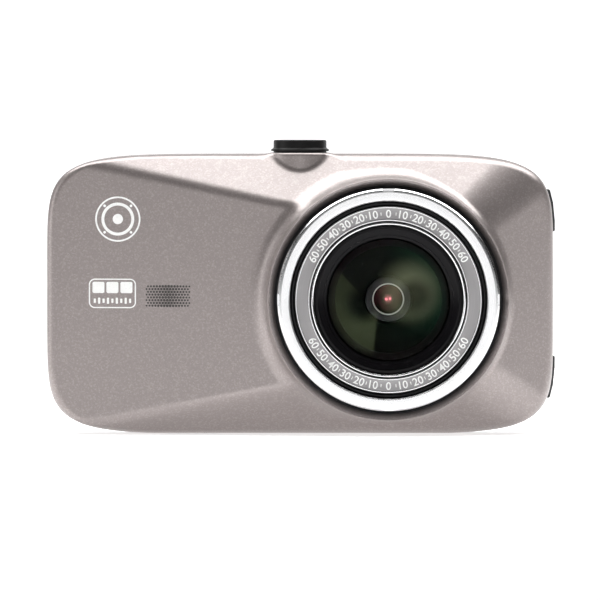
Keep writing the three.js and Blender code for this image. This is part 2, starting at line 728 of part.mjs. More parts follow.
function sideKey(name, sign) {
  const { start, end, proud, flange } = SIDE_KEY;
  const [z0, z1] = sideKeySpan(sign);
  const back = -LIP_INSET - LIP_THICKNESS;
  const cap = outlineBand(proud, back, start, end, z0, z1);
  const base = outlineBand(-LIP_INSET, back, start - flange, end + flange, z0 - flange, z1 + flange);
  return toMesh(name, FINISH.blackPlastic, cap.add(base));
}

function sideSwitch(name, sign) {
  const middle = CASE_MID_Z + (sign * (SIDE_KEY.from + SIDE_KEY.to)) / 2;
  const body = block(43.0, 45.4, ON_BOARD, 12.6, middle - 3, middle + 3);
  const plunger = block(45.2, 46.2, 9.2, 11.2, middle - 1, middle + 1);
  return toMesh(name, FINISH.steel, body.add(plunger));
}

// ---- mounting stub ------------------------------------------------------------------------------

// Round stub with a twist-lock slot: an oblong mouth over a round chamber, so a T-shaped foot goes in
// and locks when it is turned a quarter turn.
function mountTurret() {
  const { radius, skirtRadius, skirtBottom, skirtTop, top, bottom } = TURRET;
  let turret = turnedUpright(
    [
      [0, bottom],
      [radius, bottom],
      [radius, skirtBottom],
      [skirtRadius, skirtBottom],
      [skirtRadius, skirtTop - 0.25],
      [radius, skirtTop],
      [radius, top - 0.3],
      [radius - 0.3, top],
      [0, top],
    ],
    0, COLLAR.depth, STUB_SEGMENTS,
  );
  const { halfLength, halfWidth, neckBottom, cavityRadius, cavityBottom } = SLOT;
  const depth0 = COLLAR.depth - halfWidth;
  const depth1 = COLLAR.depth + halfWidth;
  turret = turret.subtract(block(-halfLength, halfLength, depth0, depth1, cavityBottom, top + 1));
  const chamber = [
    [0, cavityBottom],
    [cavityRadius, cavityBottom],
    [cavityRadius, neckBottom],
    [0, neckBottom],
  ];
  turret = turret.subtract(turnedUpright(chamber, 0, COLLAR.depth, STUB_SEGMENTS));
  turret = turret.subtract(rodUpright(1.3, bottom - 1, bottom + 2.6, 0, COLLAR.depth));
  return toMesh('mount_turret', FINISH.blackPlastic, turret);
}

function turretFixings() {
  const washer = turnedUpright(
    [[1.6, 49.6], [6.2, 49.6], [6.2, 50.6], [1.6, 50.6], [1.6, 49.6]],
    0, COLLAR.depth, STUB_SEGMENTS,
  );
  const screw = turnedUpright(
    [[0, 48.0], [2.2, 48.0], [2.6, 48.4], [2.6, 49.3], [1.0, 49.3], [1.0, 53.0], [0, 53.0]],
    0, COLLAR.depth, SMALL_SEGMENTS,
  );
  return [
    toMesh('swivel_washer', FINISH.steel, washer),
    toMesh('swivel_screw', FINISH.steel, screw),
  ];
}

// ---- assembly -----------------------------------------------------------------------------------

const dashCamera = new THREE.Group();
dashCamera.name = 'dash_camera';
dashCamera.add(frontShell(), rearCover(), ...caseScrews());
dashCamera.add(
  bezelRing(),
  plainRing('groove_ring', FINISH.blackPlastic, GROOVE),
  plainRing('name_ring', FINISH.satinRing, NAME_RING),
  plainRing('inner_trim_ring', FINISH.brightRing, TRIM),
  lensCone(),
  frontLens(),
  lensBarrel(),
  ...innerOptics(),
  lensMount(),
  ...lensScrews(),
  ...sensorStack(),
);
dashCamera.add(mainBoard(), ...chips(), battery(), ...soundParts());
dashCamera.add(usbSocket(), cardSocket(), memoryCard(), ...screenParts());
dashCamera.add(...rearKeys(), ...rearSwitches(), ...statusLights());
dashCamera.add(sideKey('power_key', 1), sideKey('lock_key', -1));
dashCamera.add(sideSwitch('power_switch', 1), sideSwitch('lock_switch', -1));
dashCamera.add(mountTurret(), ...turretFixings());

export default dashCamera;
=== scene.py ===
"""Looks of a dash camera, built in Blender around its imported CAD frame.

Sizes in the classes are in millimetres. A "depth" counts from the flat rear face of the case towards the
lens, so it runs along -Y. Places and overall sizes come from the frame's nodes.
"""

import logging
import math
from collections.abc import Callable, Sequence
from dataclasses import dataclass, field
from enum import Enum

import bmesh
import bpy
from mathutils import Matrix, Vector


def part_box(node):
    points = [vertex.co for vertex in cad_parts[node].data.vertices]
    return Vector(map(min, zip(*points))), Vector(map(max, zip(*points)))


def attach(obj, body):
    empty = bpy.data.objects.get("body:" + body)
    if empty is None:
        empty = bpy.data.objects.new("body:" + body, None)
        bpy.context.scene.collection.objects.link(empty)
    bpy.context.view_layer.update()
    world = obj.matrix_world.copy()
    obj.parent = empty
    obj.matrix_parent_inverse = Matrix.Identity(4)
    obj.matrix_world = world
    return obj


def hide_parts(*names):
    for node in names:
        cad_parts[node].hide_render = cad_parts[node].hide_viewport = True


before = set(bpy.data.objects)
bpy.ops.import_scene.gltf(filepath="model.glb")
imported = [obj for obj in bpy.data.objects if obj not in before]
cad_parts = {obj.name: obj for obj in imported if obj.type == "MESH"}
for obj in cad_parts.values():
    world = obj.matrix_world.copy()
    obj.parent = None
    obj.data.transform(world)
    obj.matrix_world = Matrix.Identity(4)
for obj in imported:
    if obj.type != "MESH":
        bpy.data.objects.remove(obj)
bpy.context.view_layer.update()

LOG = logging.getLogger("dash_camera")
MM = 0.001
ON_AXIS = 1e-6

Pair = tuple[float, float]
Corner = tuple[float, float, float]
Colour = tuple[float, float, float, float]
Node = bpy.types.Node
Socket = bpy.types.NodeSocket


class Body(Enum):
    """The moving groups that a piece can ride on."""

    CASE = "case"
    STUB = "mount_stub"
    CARD = "memory_card_body"
    POWER_KEY = "power_key_body"
    LOCK_KEY = "lock_key_body"
    MENU_KEY = "menu_key_body"
    MODE_KEY = "mode_key_body"
    UP_KEY = "up_key_body"
    OK_KEY = "ok_key_body"
    DOWN_KEY = "down_key_body"


class Axis(Enum):
    """Directions a piece can be turned about."""

    LENS = (0.0, 1.0, 0.0)
    UPRIGHT = (0.0, 0.0, 1.0)


# ---- places taken from the frame --------------------------------------------------------------------


def middle(node: str) -> Vector:
    """Centre of a CAD node's box, in millimetres."""
    low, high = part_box(node)
    return (low + high) / (2 * MM)


REAR_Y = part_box("rear_cover")[1].y / MM
LENS = middle("lens_bezel_ring")
LENS_AXIS = Vector((LENS.x, 0.0, LENS.z))
STUB = middle("mount_turret")


def depth_of(y: float) -> float:
    """Depth, in millimetres, of a y in metres."""
    return REAR_Y - y / MM


def depths(node: str) -> Pair:
    """First and last depth of a CAD node."""
    low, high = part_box(node)
    return depth_of(high.y), depth_of(low.y)


def outer_radius(node: str) -> float:
    """Radius of a CAD node that is turned about the lens axis."""
    low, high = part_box(node)
    return (high.x - low.x) / (2 * MM)


def point(x: float, depth: float, z: float) -> Vector:
    """A place in metres from x, depth and z in millimetres."""
    return Vector((x, REAR_Y - depth, z)) * MM


# ---- profiles ---------------------------------------------------------------------------------------


def rounded(corners: Sequence[Corner], steps: int = 4, closed: bool = True) -> list[Pair]:
    """Rounds the corners of a flat profile.

    Args:
        corners: Each corner as (a, b, radius), in order.
        steps: Straight pieces in each rounding.
        closed: Whether the last corner joins the first.

    Returns:
        The profile's points as (a, b).
    """
    points: list[Pair] = []
    count = len(corners)
    for index, (a, b, radius) in enumerate(corners):
        is_end = not closed and index in (0, count - 1)
        if radius <= 0 or is_end:
            points.append((a, b))
            continue
        here = Vector((a, b))
        before = Vector(corners[index - 1][:2]) - here
        after = Vector(corners[(index + 1) % count][:2]) - here
        half = before.angle(after) / 2
        reach = min(radius / math.tan(half), 0.49 * before.length, 0.49 * after.length)
        radius = reach * math.tan(half)
        centre = here + (before.normalized() + after.normalized()).normalized() * (radius / math.sin(half))
        start = here + before.normalized() * reach - centre
        turn = start.angle_signed(here + after.normalized() * reach - centre)
        for step in range(steps + 1):
            arm = start.copy()
            arm.rotate(Matrix.Rotation(-turn * step / steps, 2))
            points.append(tuple(centre + arm))
    return points


def dome(radius: float, edge: float, apex: float, steps: int) -> list[Pair]:
    """Meridian of a spherical cap, from its rim to its apex.

    Args:
        radius: Radius of the rim.
        edge: Depth of the rim.
        apex: Depth of the apex.
        steps: Straight pieces along the meridian.

    Returns:
        Points as (radius, depth), the last one on the axis.
    """
    sag = apex - edge
    sphere = (radius * radius + sag * sag) / (2 * abs(sag))
    points: list[Pair] = []
    for step in range(steps + 1):
        r = radius * math.cos(math.pi / 2 * step / steps)
        drop = sphere - math.sqrt(sphere * sphere - r * r)
        points.append((r, apex - math.copysign(drop, sag)))
    return points


def smooth_min(a: float, b: float, width: float) -> float:
    """The smaller of two heights, blended over a difference of "width"."""
    share = max(width - abs(a - b), 0.0) / width
    return min(a, b) - share * share * width / 4


def smooth_step(low: float, high: float, value: float) -> float:
    """0 below low, 1 above high and an even curve between them."""
    t = min(max((value - low) / (high - low), 0.0), 1.0)
    return t * t * (3 - 2 * t)


# ---- shader nodes -----------------------------------------------------------------------------------


class Shader:
    """A node tree under construction."""

    def __init__(self, tree: bpy.types.NodeTree) -> None:
        """Keeps the tree that nodes are added to."""
        self.tree = tree

    def node(self, kind: str, **settings: object) -> Node:
        """Adds a node and sets its properties."""
        made = self.tree.nodes.new(kind)
        for name, value in settings.items():
            setattr(made, name, value)
        return made

    def feed(self, socket: Socket, value: object) -> None:
        """Links a socket to another, or sets its value."""
        if isinstance(value, Socket):
            self.tree.links.new(value, socket)
        else:
            socket.default_value = value

    def maths(self, operation: str, *values: object, clamp: bool = False) -> Socket:
        """A Math node's result.

        Args:
            operation: The node's operation, such as "MULTIPLY".
            *values: Numbers or sockets for its inputs.
            clamp: Whether the result stays between 0 and 1.

        Returns:
            The output socket.
        """
        made = self.node("ShaderNodeMath", operation=operation, use_clamp=clamp)
        for index, value in enumerate(values):
            self.feed(made.inputs[index], value)
        return made.outputs[0]

    def blend(self, share: object, first: object, second: object) -> Socket:
        """Colour between two colours, by a share from 0 to 1."""
        made = self.node("ShaderNodeMix", data_type="RGBA")
        self.feed(made.inputs["Factor"], share)
        self.feed(made.inputs[6], first)
        self.feed(made.inputs[7], second)
        return made.outputs[2]

    def spread(self, value: object, low: object, high: object) -> Socket:
        """Maps a value from 0..1 to low..high."""
        made = self.node("ShaderNodeMapRange")
        self.feed(made.inputs["Value"], value)
        self.feed(made.inputs["To Min"], low)
        self.feed(made.inputs["To Max"], high)
        return made.outputs["Result"]

    def window(self, value: object, low: object, high: object) -> Socket:
        """Maps a value from low..high to 0..1, evened at both ends."""
        made = self.node("ShaderNodeMapRange", interpolation_type="SMOOTHSTEP")
        self.feed(made.inputs["Value"], value)
        self.feed(made.inputs["From Min"], low)
        self.feed(made.inputs["From Max"], high)
        return made.outputs["Result"]

    def noise(self, vector: object, scale: object, detail: float = 2.0) -> Socket:
        """A noise texture's factor."""
        made = self.node("ShaderNodeTexNoise")
        self.feed(made.inputs["Vector"], vector)
        self.feed(made.inputs["Scale"], scale)
        made.inputs["Detail"].default_value = detail
        return made.outputs["Fac"]

    def cells(self, vector: object, scale: object) -> Node:
        """A Voronoi texture."""
        made = self.node("ShaderNodeTexVoronoi")
        self.feed(made.inputs["Vector"], vector)
        self.feed(made.inputs["Scale"], scale)
        return made

    def mapped(self, vector: object, **settings: object) -> Socket:
        """Coordinates changed by a Location, a Rotation or a Scale."""
        made = self.node("ShaderNodeMapping")
        self.feed(made.inputs["Vector"], vector)
        for name, value in settings.items():
            made.inputs[name].default_value = value
        return made.outputs[0]

    def parts(self, vector: object) -> bpy.types.NodeOutputs:
        """The X, Y and Z of a vector."""
        made = self.node("ShaderNodeSeparateXYZ")
        self.feed(made.inputs[0], vector)
        return made.outputs

    def length(self, first: object, second: object) -> Socket:
        """Length of the hypotenuse over two sides."""
        squares = [self.maths("MULTIPLY", side, side) for side in (first, second)]
        return self.maths("SQRT", self.maths("ADD", *squares))


class Effect:
    """A node group that several finishes share."""

    def __init__(self, name: str, inputs: dict[str, float], outputs: Sequence[str]) -> None:
        """Makes the group with its sockets.

        Args:
            name: Name of the group.
            inputs: Default of each number input; every effect also takes a Vector.
            outputs: Names of the number outputs.
        """
        self.group = bpy.data.node_groups.new(name, "ShaderNodeTree")
        sockets = self.group.interface
        sockets.new_socket("Vector", in_out="INPUT", socket_type="NodeSocketVector")
        for title, value in inputs.items():
            made = sockets.new_socket(title, in_out="INPUT", socket_type="NodeSocketFloat")
            made.default_value = value
        for title in outputs:
            sockets.new_socket(title, in_out="OUTPUT", socket_type="NodeSocketFloat")
        self.shader = Shader(self.group)
        self.given = self.shader.node("NodeGroupInput").outputs
        self.result = self.shader.node("NodeGroupOutput").inputs
        self.draw()

    def draw(self) -> None:
        """Adds the nodes of the effect."""
        raise NotImplementedError

    def place(self, shader: Shader, vector: object, **values: float) -> bpy.types.NodeOutputs:
        """Puts the group into a material.

        Args:
            shader: The material's shader.
            vector: Socket with the coordinates.
            **values: Inputs by name, with "_" for a space.

        Returns:
            The group's outputs.
        """
        made = shader.node("ShaderNodeGroup", node_tree=self.group)
        shader.feed(made.inputs["Vector"], vector)
        for title, value in values.items():
            shader.feed(made.inputs[title.replace("_", " ")], value)
        return made.outputs


class MouldGrain(Effect):
    """Spark-eroded grain of a moulded plastic face, with slow changes of gloss."""

    def __init__(self) -> None:
        """Names the sockets."""
        inputs = {"Scale": 3000.0, "Gloss": 0.5, "Gloss Spread": 0.1}
        super().__init__("mould_grain", inputs, ["Height", "Roughness"])

    def draw(self) -> None:
        """Two sizes of noise for the grain and a broad one for the gloss."""
        vector = self.given["Vector"]
        fine = self.shader.noise(vector, self.given["Scale"], 3.0)
        coarse = self.shader.noise(vector, self.shader.maths("MULTIPLY", self.given["Scale"], 0.35), 1.0)
        height = self.shader.maths("ADD", fine, self.shader.maths("MULTIPLY", coarse, 0.6))
        broad = self.shader.noise(vector, 45.0, 3.0)
        swing = self.shader.maths("SUBTRACT", broad, 0.5)
        swing = self.shader.maths("MULTIPLY", swing, self.given["Gloss Spread"])
        self.shader.feed(self.result["Height"], height)
        self.shader.feed(self.result["Roughness"], self.shader.maths("ADD", self.given["Gloss"], swing))


class MetalFlake(Effect):
    """Aluminium flakes in a paint film: each cell has its own brightness and tilt."""

    def __init__(self) -> None:
        """Names the sockets."""
        super().__init__("metal_flake", {"Scale": 6000.0, "Spread": 0.5}, ["Sparkle", "Height"])

    def draw(self) -> None:
        """A cell's random colour gives its brightness, raised to a power so that few are bright."""
        cells = self.shader.cells(self.given["Vector"], self.given["Scale"])
        parts = self.shader.node("ShaderNodeSeparateColor")
        self.shader.feed(parts.inputs[0], cells.outputs["Color"])
        sparkle = self.shader.maths("POWER", parts.outputs[0], 3.0)
        self.shader.feed(self.result["Sparkle"], self.shader.maths("MULTIPLY", sparkle, self.given["Spread"]))
        self.shader.feed(self.result["Height"], parts.outputs[1])


class EdgeWear(Effect):
    """Mask of the outer corners, broken up by noise."""

    def __init__(self) -> None:
        """Names the sockets."""
        super().__init__("edge_wear", {"Start": 0.53, "End": 0.62}, ["Mask"])

    def draw(self) -> None:
        """Pointiness picks the corners and noise frays the band."""
        corners = self.shader.node("ShaderNodeNewGeometry").outputs["Pointiness"]
        band = self.shader.window(corners, self.given["Start"], self.given["End"])
        fray = self.shader.window(self.shader.noise(self.given["Vector"], 900.0, 3.0), 0.35, 0.7)
        self.shader.feed(self.result["Mask"], self.shader.maths("MULTIPLY", band, fray, clamp=True))


class TurningMarks(Effect):
    """Fine grooves left by a lathe, circles about the Y axis of the coordinates."""

    def __init__(self) -> None:
        """Names the sockets."""
        super().__init__("turning_marks", {"Pitch": 9000.0, "Sweep": 3.0}, ["Height", "Shade"])

    def draw(self) -> None:
        """Noise on (radius, angle), stretched along the angle."""
        x, y, z = self.shader.parts(self.given["Vector"])
        radius = self.shader.length(x, z)
        angle = self.shader.maths("ARCTAN2", z, x)
        polar = self.shader.node("ShaderNodeCombineXYZ")
        self.shader.feed(polar.inputs[0], self.shader.maths("MULTIPLY", radius, self.given["Pitch"]))
        self.shader.feed(polar.inputs[1], self.shader.maths("MULTIPLY", y, self.given["Pitch"]))
        self.shader.feed(polar.inputs[2], self.shader.maths("MULTIPLY", angle, self.given["Sweep"]))
        grooves = self.shader.noise(polar.outputs[0], 1.0, 2.0)
        sweep = self.shader.node("ShaderNodeCombineXYZ")
        twice = self.shader.maths("MULTIPLY", angle, 2.0)
        self.shader.feed(sweep.inputs[0], self.shader.maths("COSINE", twice))
        self.shader.feed(sweep.inputs[1], self.shader.maths("MULTIPLY", angle, 0.35))
        self.shader.feed(self.result["Height"], grooves)
        self.shader.feed(self.result["Shade"], self.shader.noise(sweep.outputs[0], 2.3, 2.0))


class Dust(Effect):
    """Faint settled dust: more on faces that look up."""

    def __init__(self) -> None:
        """Names the sockets."""
        super().__init__("dust", {"Amount": 0.1}, ["Mask"])

    def draw(self) -> None:
        """The normal's upward part times a speckled noise."""
        normal = self.shader.node("ShaderNodeNewGeometry").outputs["Normal"]
        upward = self.shader.window(self.shader.parts(normal)[2], 0.2, 1.0)
        specks = self.shader.window(self.shader.noise(self.given["Vector"], 700.0, 4.0), 0.45, 0.75)
        settled = self.shader.maths("MULTIPLY", upward, specks)
        self.shader.feed(self.result["Mask"], self.shader.maths("MULTIPLY", settled, self.given["Amount"]))


class PaintedLensLight(Effect):
    """Painted reflections and a painted glint inside a lens, fixed on the glass."""

    def __init__(self) -> None:
        """Names the sockets."""
        super().__init__("lens_painted_light", {"Reach": 0.0122}, ["Sector", "Glow", "Rim", "Spot"])

    def around(self, x: object, z: object, centre: Pair) -> Socket:
        """Distance from a centre given in radii of the lens."""
        across = self.shader.maths("SUBTRACT", x, centre[0])
        upright = self.shader.maths("SUBTRACT", z, centre[1])
        return self.shader.length(across, upright)

    def draw(self) -> None:
        """Painted reflections: a sector below left, a soft glow and a rim on the right; and a painted glint,
        a spot in the middle.
        """
        make = self.shader
        normal = make.node("ShaderNodeNewGeometry").outputs["Normal"]
        front = make.window(make.parts(normal)[1], -0.05, -0.20)
        place = make.parts(self.given["Vector"])
        x = make.maths("DIVIDE", place[0], self.given["Reach"])
        z = make.maths("DIVIDE", place[2], self.given["Reach"])
        slant = make.maths("ADD", make.maths("ADD", z, make.maths("MULTIPLY", x, 1.108)), 0.415)
        edge = make.maths("SUBTRACT", x, make.maths("MULTIPLY", z, 0.1))
        inside = make.window(self.around(x, z, (0.0, 0.0)), 0.99, 0.90)
        sides = (make.window(slant, 0.02, -0.03), make.window(edge, -0.13, -0.19))
        sector = make.maths("MULTIPLY", *sides)
        fade = make.window(self.around(x, z, (-0.36, -0.32)), 0.75, 0.05)
        fade = make.maths("ADD", make.maths("MULTIPLY", fade, 0.55), 0.45)
        sector = make.maths("MULTIPLY", make.maths("MULTIPLY", sector, fade), inside)
        glow = make.window(self.around(x, z, (0.34, 0.14)), 0.63, 0.05)
        glow = make.maths("MULTIPLY", glow, make.window(x, -0.30, -0.05))
        rim = make.maths("MULTIPLY", make.window(x, -0.10, 0.75), make.window(z, -0.75, 0.10))
        rim = make.maths("MULTIPLY", rim, inside)
        halves = [
            make.window(self.around(x, z, (side * 0.42, 0.06 * side)), 0.45, 0.12)
            for side in (-1, 1)
        ]
        halo = make.maths("MULTIPLY", make.window(self.around(x, z, (0.0, 0.05)), 1.1, 0.2), 0.22)
        spot = make.maths("ADD", halves[0], make.maths("MULTIPLY", halves[1], 0.8), clamp=True)
        spot = make.maths("MAXIMUM", spot, halo)
        for title, value in (("Sector", sector), ("Glow", glow), ("Rim", rim), ("Spot", spot)):
            make.feed(self.result[title], make.maths("MULTIPLY", value, front))


GRAIN = MouldGrain()
FLAKE = MetalFlake()
WEAR = EdgeWear()
TURNING = TurningMarks()
DUST = Dust()
PAINTED_LENS_LIGHT = PaintedLensLight()


# ---- finishes ---------------------------------------------------------------------------------------


def toned(colour: Colour, factor: float, lift: float = 0.0) -> Colour:
    """A colour with its channels scaled and lifted, no brighter than white."""
    return tuple(min(1.0, channel * factor + lift) for channel in colour[:3]) + (1.0,)


@dataclass(frozen=True)
class Finish:
    """Common part of every surface finish."""

    name: str
    slot: str | None
    colour: Colour
    roughness: float = 0.5
    metallic: float = 0.0
    specular: float = 0.5

    def material(self) -> bpy.types.Material:
        """The finish's material, made the first time it is asked for."""
        found = bpy.data.materials.get(f"{self.name}_finish")
        return found or self._make()

    def _make(self) -> bpy.types.Material:
        """Makes the material and lets the finish dress it."""
        made = bpy.data.materials.new(f"{self.name}_finish")
        made.use_nodes = True
        shader = Shader(made.node_tree)
        surface = made.node_tree.nodes["Principled BSDF"]
        surface.inputs["Base Color"].default_value = self.colour
        surface.inputs["Roughness"].default_value = self.roughness
        surface.inputs["Metallic"].default_value = self.metallic
        surface.inputs["Specular IOR Level"].default_value = self.specular
        coordinates = shader.node("ShaderNodeTexCoord").outputs["Object"]
        self.dress(shader, surface, coordinates)
        return made

    def dress(self, shader: Shader, surface: Node, coordinates: Socket) -> None:
        """Adds the finish's own nodes.

        Args:
            shader: The material's shader.
            surface: The Principled BSDF.
            coordinates: Object coordinates.
        """
        raise NotImplementedError

    def bump(self, shader: Shader, surface: Node, height: object, distance: float,
             strength: float) -> None:
        """Feeds a height to the surface's normal.

        Args:
            shader: The material's shader.
            surface: The Principled BSDF.
            height: Socket with the height.
            distance: Height of the relief in millimetres.
            strength: Strength of the bump.
        """
        made = shader.node("ShaderNodeBump")
        made.inputs["Distance"].default_value = distance * MM
        made.inputs["Strength"].default_value = strength
        shader.feed(made.inputs["Height"], height)
        shader.feed(surface.inputs["Normal"], made.outputs[0])

    def centred(self, shader: Shader, coordinates: object, centre: Vector) -> Socket:
        """Coordinates counted from a centre in millimetres."""
        return shader.mapped(coordinates, Location=-centre * MM)


@dataclass(frozen=True)
class FlakePaint(Finish):
    """Satin metallic paint with fine flakes and slightly worn corners, and painted shade in the mouth of the
    lens boss.
    """

    sparkle: float = 0.16
    flake_scale: float = 3800.0
    # Radii from the lens axis over which the painted shade in the boss's mouth fades out.
    mouth: Pair = (22.95, 24.5)

    def dress(self, shader: Shader, surface: Node, coordinates: Socket) -> None:
        """Flakes lighten the colour and break the gloss; corners rub paler; shade is painted into the mouth
        of the lens boss.
        """
        surface.inputs["Coat Weight"].default_value = 0.7
        surface.inputs["Coat Roughness"].default_value = 0.30
        flakes = FLAKE.place(shader, coordinates, Scale=self.flake_scale, Spread=self.sparkle)
        grain = GRAIN.place(shader, coordinates, Scale=2600.0, Gloss=self.roughness, Gloss_Spread=0.06)
        cloud = shader.spread(shader.noise(coordinates, 30.0, 2.0), -0.012, 0.012)
        lit = toned(self.colour, 1.75)
        shade = shader.blend(shader.maths("ADD", flakes["Sparkle"], cloud, clamp=True), self.colour, lit)
        worn = WEAR.place(shader, coordinates, Start=0.56, End=0.72)["Mask"]
        pale = shader.blend(shader.maths("MULTIPLY", worn, 0.25), shade, (0.72, 0.70, 0.69, 1.0))
        dusty = DUST.place(shader, coordinates, Amount=0.10)["Mask"]
        dusted = shader.blend(dusty, pale, (0.80, 0.79, 0.77, 1.0))
        # Painted shade: deep in the mouth of the lens boss the colour turns far darker.
        bore = self.recess(shader, coordinates)
        thin = toned(self.colour, 0.22)
        shader.feed(surface.inputs["Base Color"], shader.blend(bore, thin, dusted))
        shader.feed(surface.inputs["Roughness"], grain["Roughness"])
        height = shader.maths("ADD", flakes["Height"], shader.maths("MULTIPLY", grain["Height"], 0.12))
        self.bump(shader, surface, height, 0.004, 0.35)

    def recess(self, shader: Shader, coordinates: Socket) -> Socket:
        """Mask of painted shade in the mouth of the lens boss: 0 deep inside it and 1 outside it."""
        x, _, z = shader.parts(self.centred(shader, coordinates, LENS))
        radius = shader.length(x, z)
        low, high = self.mouth
        return shader.window(radius, low * MM, high * MM)


@dataclass(frozen=True)
class MouldedPlastic(Finish):
    """Moulded plastic with an eroded grain, rubbed edges and a little dust."""

    grain: float = 2800.0
    relief: float = 0.012
    wear: float = 0.35
    dust: float = 0.05

    def dress(self, shader: Shader, surface: Node, coordinates: Socket) -> None:
        """Grain in the normal and the gloss; edges rub lighter."""
        grain = GRAIN.place(shader, coordinates, Scale=self.grain, Gloss=self.roughness, Gloss_Spread=0.12)
        worn = WEAR.place(shader, coordinates)["Mask"]
        rubbed = toned(self.colour, 1.6, 0.03)
        shade = shader.blend(shader.maths("MULTIPLY", worn, self.wear), self.colour, rubbed)
        dusty = DUST.place(shader, coordinates, Amount=self.dust)["Mask"]
        shader.feed(surface.inputs["Base Color"], shader.blend(dusty, shade, (0.55, 0.53, 0.50, 1.0)))
        shader.feed(surface.inputs["Roughness"], grain["Roughness"])
        self.bump(shader, surface, grain["Height"], self.relief, 0.4)


@dataclass(frozen=True)
class TurnedMetal(Finish):
    """Metal with circular brushing about the lens axis."""

    pitch: float = 9000.0
    sheen: float = 0.18
    relief: float = 0.003

    def dress(self, shader: Shader, surface: Node, coordinates: Socket) -> None:
        """Grooves in the normal and gloss, with broad changes of tone round the ring."""
        vector = self.centred(shader, coordinates, LENS)
        marks = TURNING.place(shader, vector, Pitch=self.pitch, Sweep=2.0)
        dark = toned(self.colour, 0.72)
        tone = shader.maths("MULTIPLY", marks["Shade"], self.sheen * 2, clamp=True)
        fine = shader.maths("MULTIPLY", marks["Height"], 0.2)
        shade = shader.blend(shader.maths("ADD", tone, fine), self.colour, dark)
        gloss = shader.spread(marks["Height"], self.roughness * 0.8, self.roughness * 1.25)
        shader.feed(surface.inputs["Base Color"], shade)
        shader.feed(surface.inputs["Roughness"], gloss)
        self.bump(shader, surface, marks["Height"], self.relief, 0.5)


@dataclass(frozen=True)
class SheetMetal(Finish):
    """Stamped and plated steel: faint cloudy tarnish, rolling lines and bright corners."""

    def dress(self, shader: Shader, surface: Node, coordinates: Socket) -> None:
        """Stretched noise for the rolling lines and a cloud for the tarnish."""
        stretched = shader.mapped(coordinates, Scale=(1.0, 14.0, 14.0))
        lines = shader.noise(stretched, 450.0, 3.0)
        cloud = shader.window(shader.noise(coordinates, 260.0, 4.0), 0.4, 0.8)
        dull = toned(self.colour, 0.7)
        worn = WEAR.place(shader, coordinates)["Mask"]
        tone = shader.blend(shader.maths("MULTIPLY", cloud, 0.5), self.colour, dull)
        bright = toned(self.colour, 1.3)
        shader.feed(surface.inputs["Base Color"], shader.blend(worn, tone, bright))
        gloss = shader.spread(lines, self.roughness * 0.8, self.roughness * 1.3)
        shader.feed(surface.inputs["Roughness"], gloss)
        self.bump(shader, surface, lines, 0.004, 0.3)


@dataclass(frozen=True)
class PolishedPlastic(Finish):
    """Glossy dark plastic with hairline marks and a slight orange peel."""

    coat: float = 0.0

    def dress(self, shader: Shader, surface: Node, coordinates: Socket) -> None:
        """Fine marks change the gloss, a broad wave the normal."""
        surface.inputs["Coat Weight"].default_value = self.coat
        surface.inputs["Coat Roughness"].default_value = 0.04
        stretched = shader.mapped(coordinates, Scale=(1.0, 1.0, 9.0))
        marks = shader.window(shader.noise(stretched, 1400.0, 3.0), 0.55, 0.75)
        dusty = DUST.place(shader, coordinates, Amount=0.06)["Mask"]
        shader.feed(surface.inputs["Base Color"], shader.blend(dusty, self.colour, (0.45, 0.44, 0.42, 1.0)))
        shader.feed(surface.inputs["Roughness"], shader.spread(marks, self.roughness, self.roughness + 0.12))
        self.bump(shader, surface, shader.noise(coordinates, 220.0, 2.0), 0.01, 0.15)


@dataclass(frozen=True)
class CoatedGlass(Finish):
    """Clear optical glass with an anti-reflection coating, and faint coloured painted reflections and a
    painted glint that it emits as light.
    """

    tint: Colour = (0.35, 1.0, 0.45, 1.0)
    index: float = 1.52
    reach: float = 12.2
    # Colours of the painted reflections (sector, glow, rim) and of the painted glint (spot), emitted as
    # light.
    sector: Colour = (0.0, 0.0, 0.0, 1.0)
    glow: Colour = (0.0, 0.0, 0.0, 1.0)
    rim: Colour = (0.0, 0.0, 0.0, 1.0)
    spot: Colour = (0.0, 0.0, 0.0, 1.0)

    def dress(self, shader: Shader, surface: Node, coordinates: Socket) -> None:
        """Plain transmission, faint wiping marks in the gloss, and the painted reflections and glint emitted
        as a little light.
        """
        surface.inputs["Transmission Weight"].default_value = 1.0
        surface.inputs["IOR"].default_value = self.index
        surface.inputs["Specular Tint"].default_value = self.tint
        wiping = shader.window(shader.noise(coordinates, 320.0, 4.0), 0.55, 0.8)
        gloss = shader.spread(wiping, self.roughness, self.roughness + 0.015)
        shader.feed(surface.inputs["Roughness"], gloss)
        # Painted reflections and glint: emission colours laid on the glass in fixed places.
        painted_light_masks = PAINTED_LENS_LIGHT.place(shader, self.centred(shader, coordinates, LENS), Reach=self.reach * MM)
        light: object = (0.0, 0.0, 0.0, 1.0)
        painted_light_colours = {"Rim": self.rim, "Glow": self.glow, "Sector": self.sector, "Spot": self.spot}
        for title, colour in painted_light_colours.items():
            light = shader.blend(painted_light_masks[title], light, colour)
        shader.feed(surface.inputs["Emission Color"], light)
        surface.inputs["Emission Strength"].default_value = 1.0


@dataclass(frozen=True)
class BarrelBlack(Finish):
    """Blackened inside of a lens with the fine steps of a baffle thread."""

    def dress(self, shader: Shader, surface: Node, coordinates: Socket) -> None:
        """Grooves about the lens axis in the normal and the gloss."""
        marks = TURNING.place(shader, self.centred(shader, coordinates, LENS), Pitch=2500.0, Sweep=0.4)
        shade = shader.blend(marks["Shade"], self.colour, (0.004, 0.006, 0.004, 1.0))
        shader.feed(surface.inputs["Base Color"], shade)
        shader.feed(surface.inputs["Roughness"], shader.spread(marks["Height"], 0.5, 0.7))
        self.bump(shader, surface, marks["Height"], 0.006, 0.2)


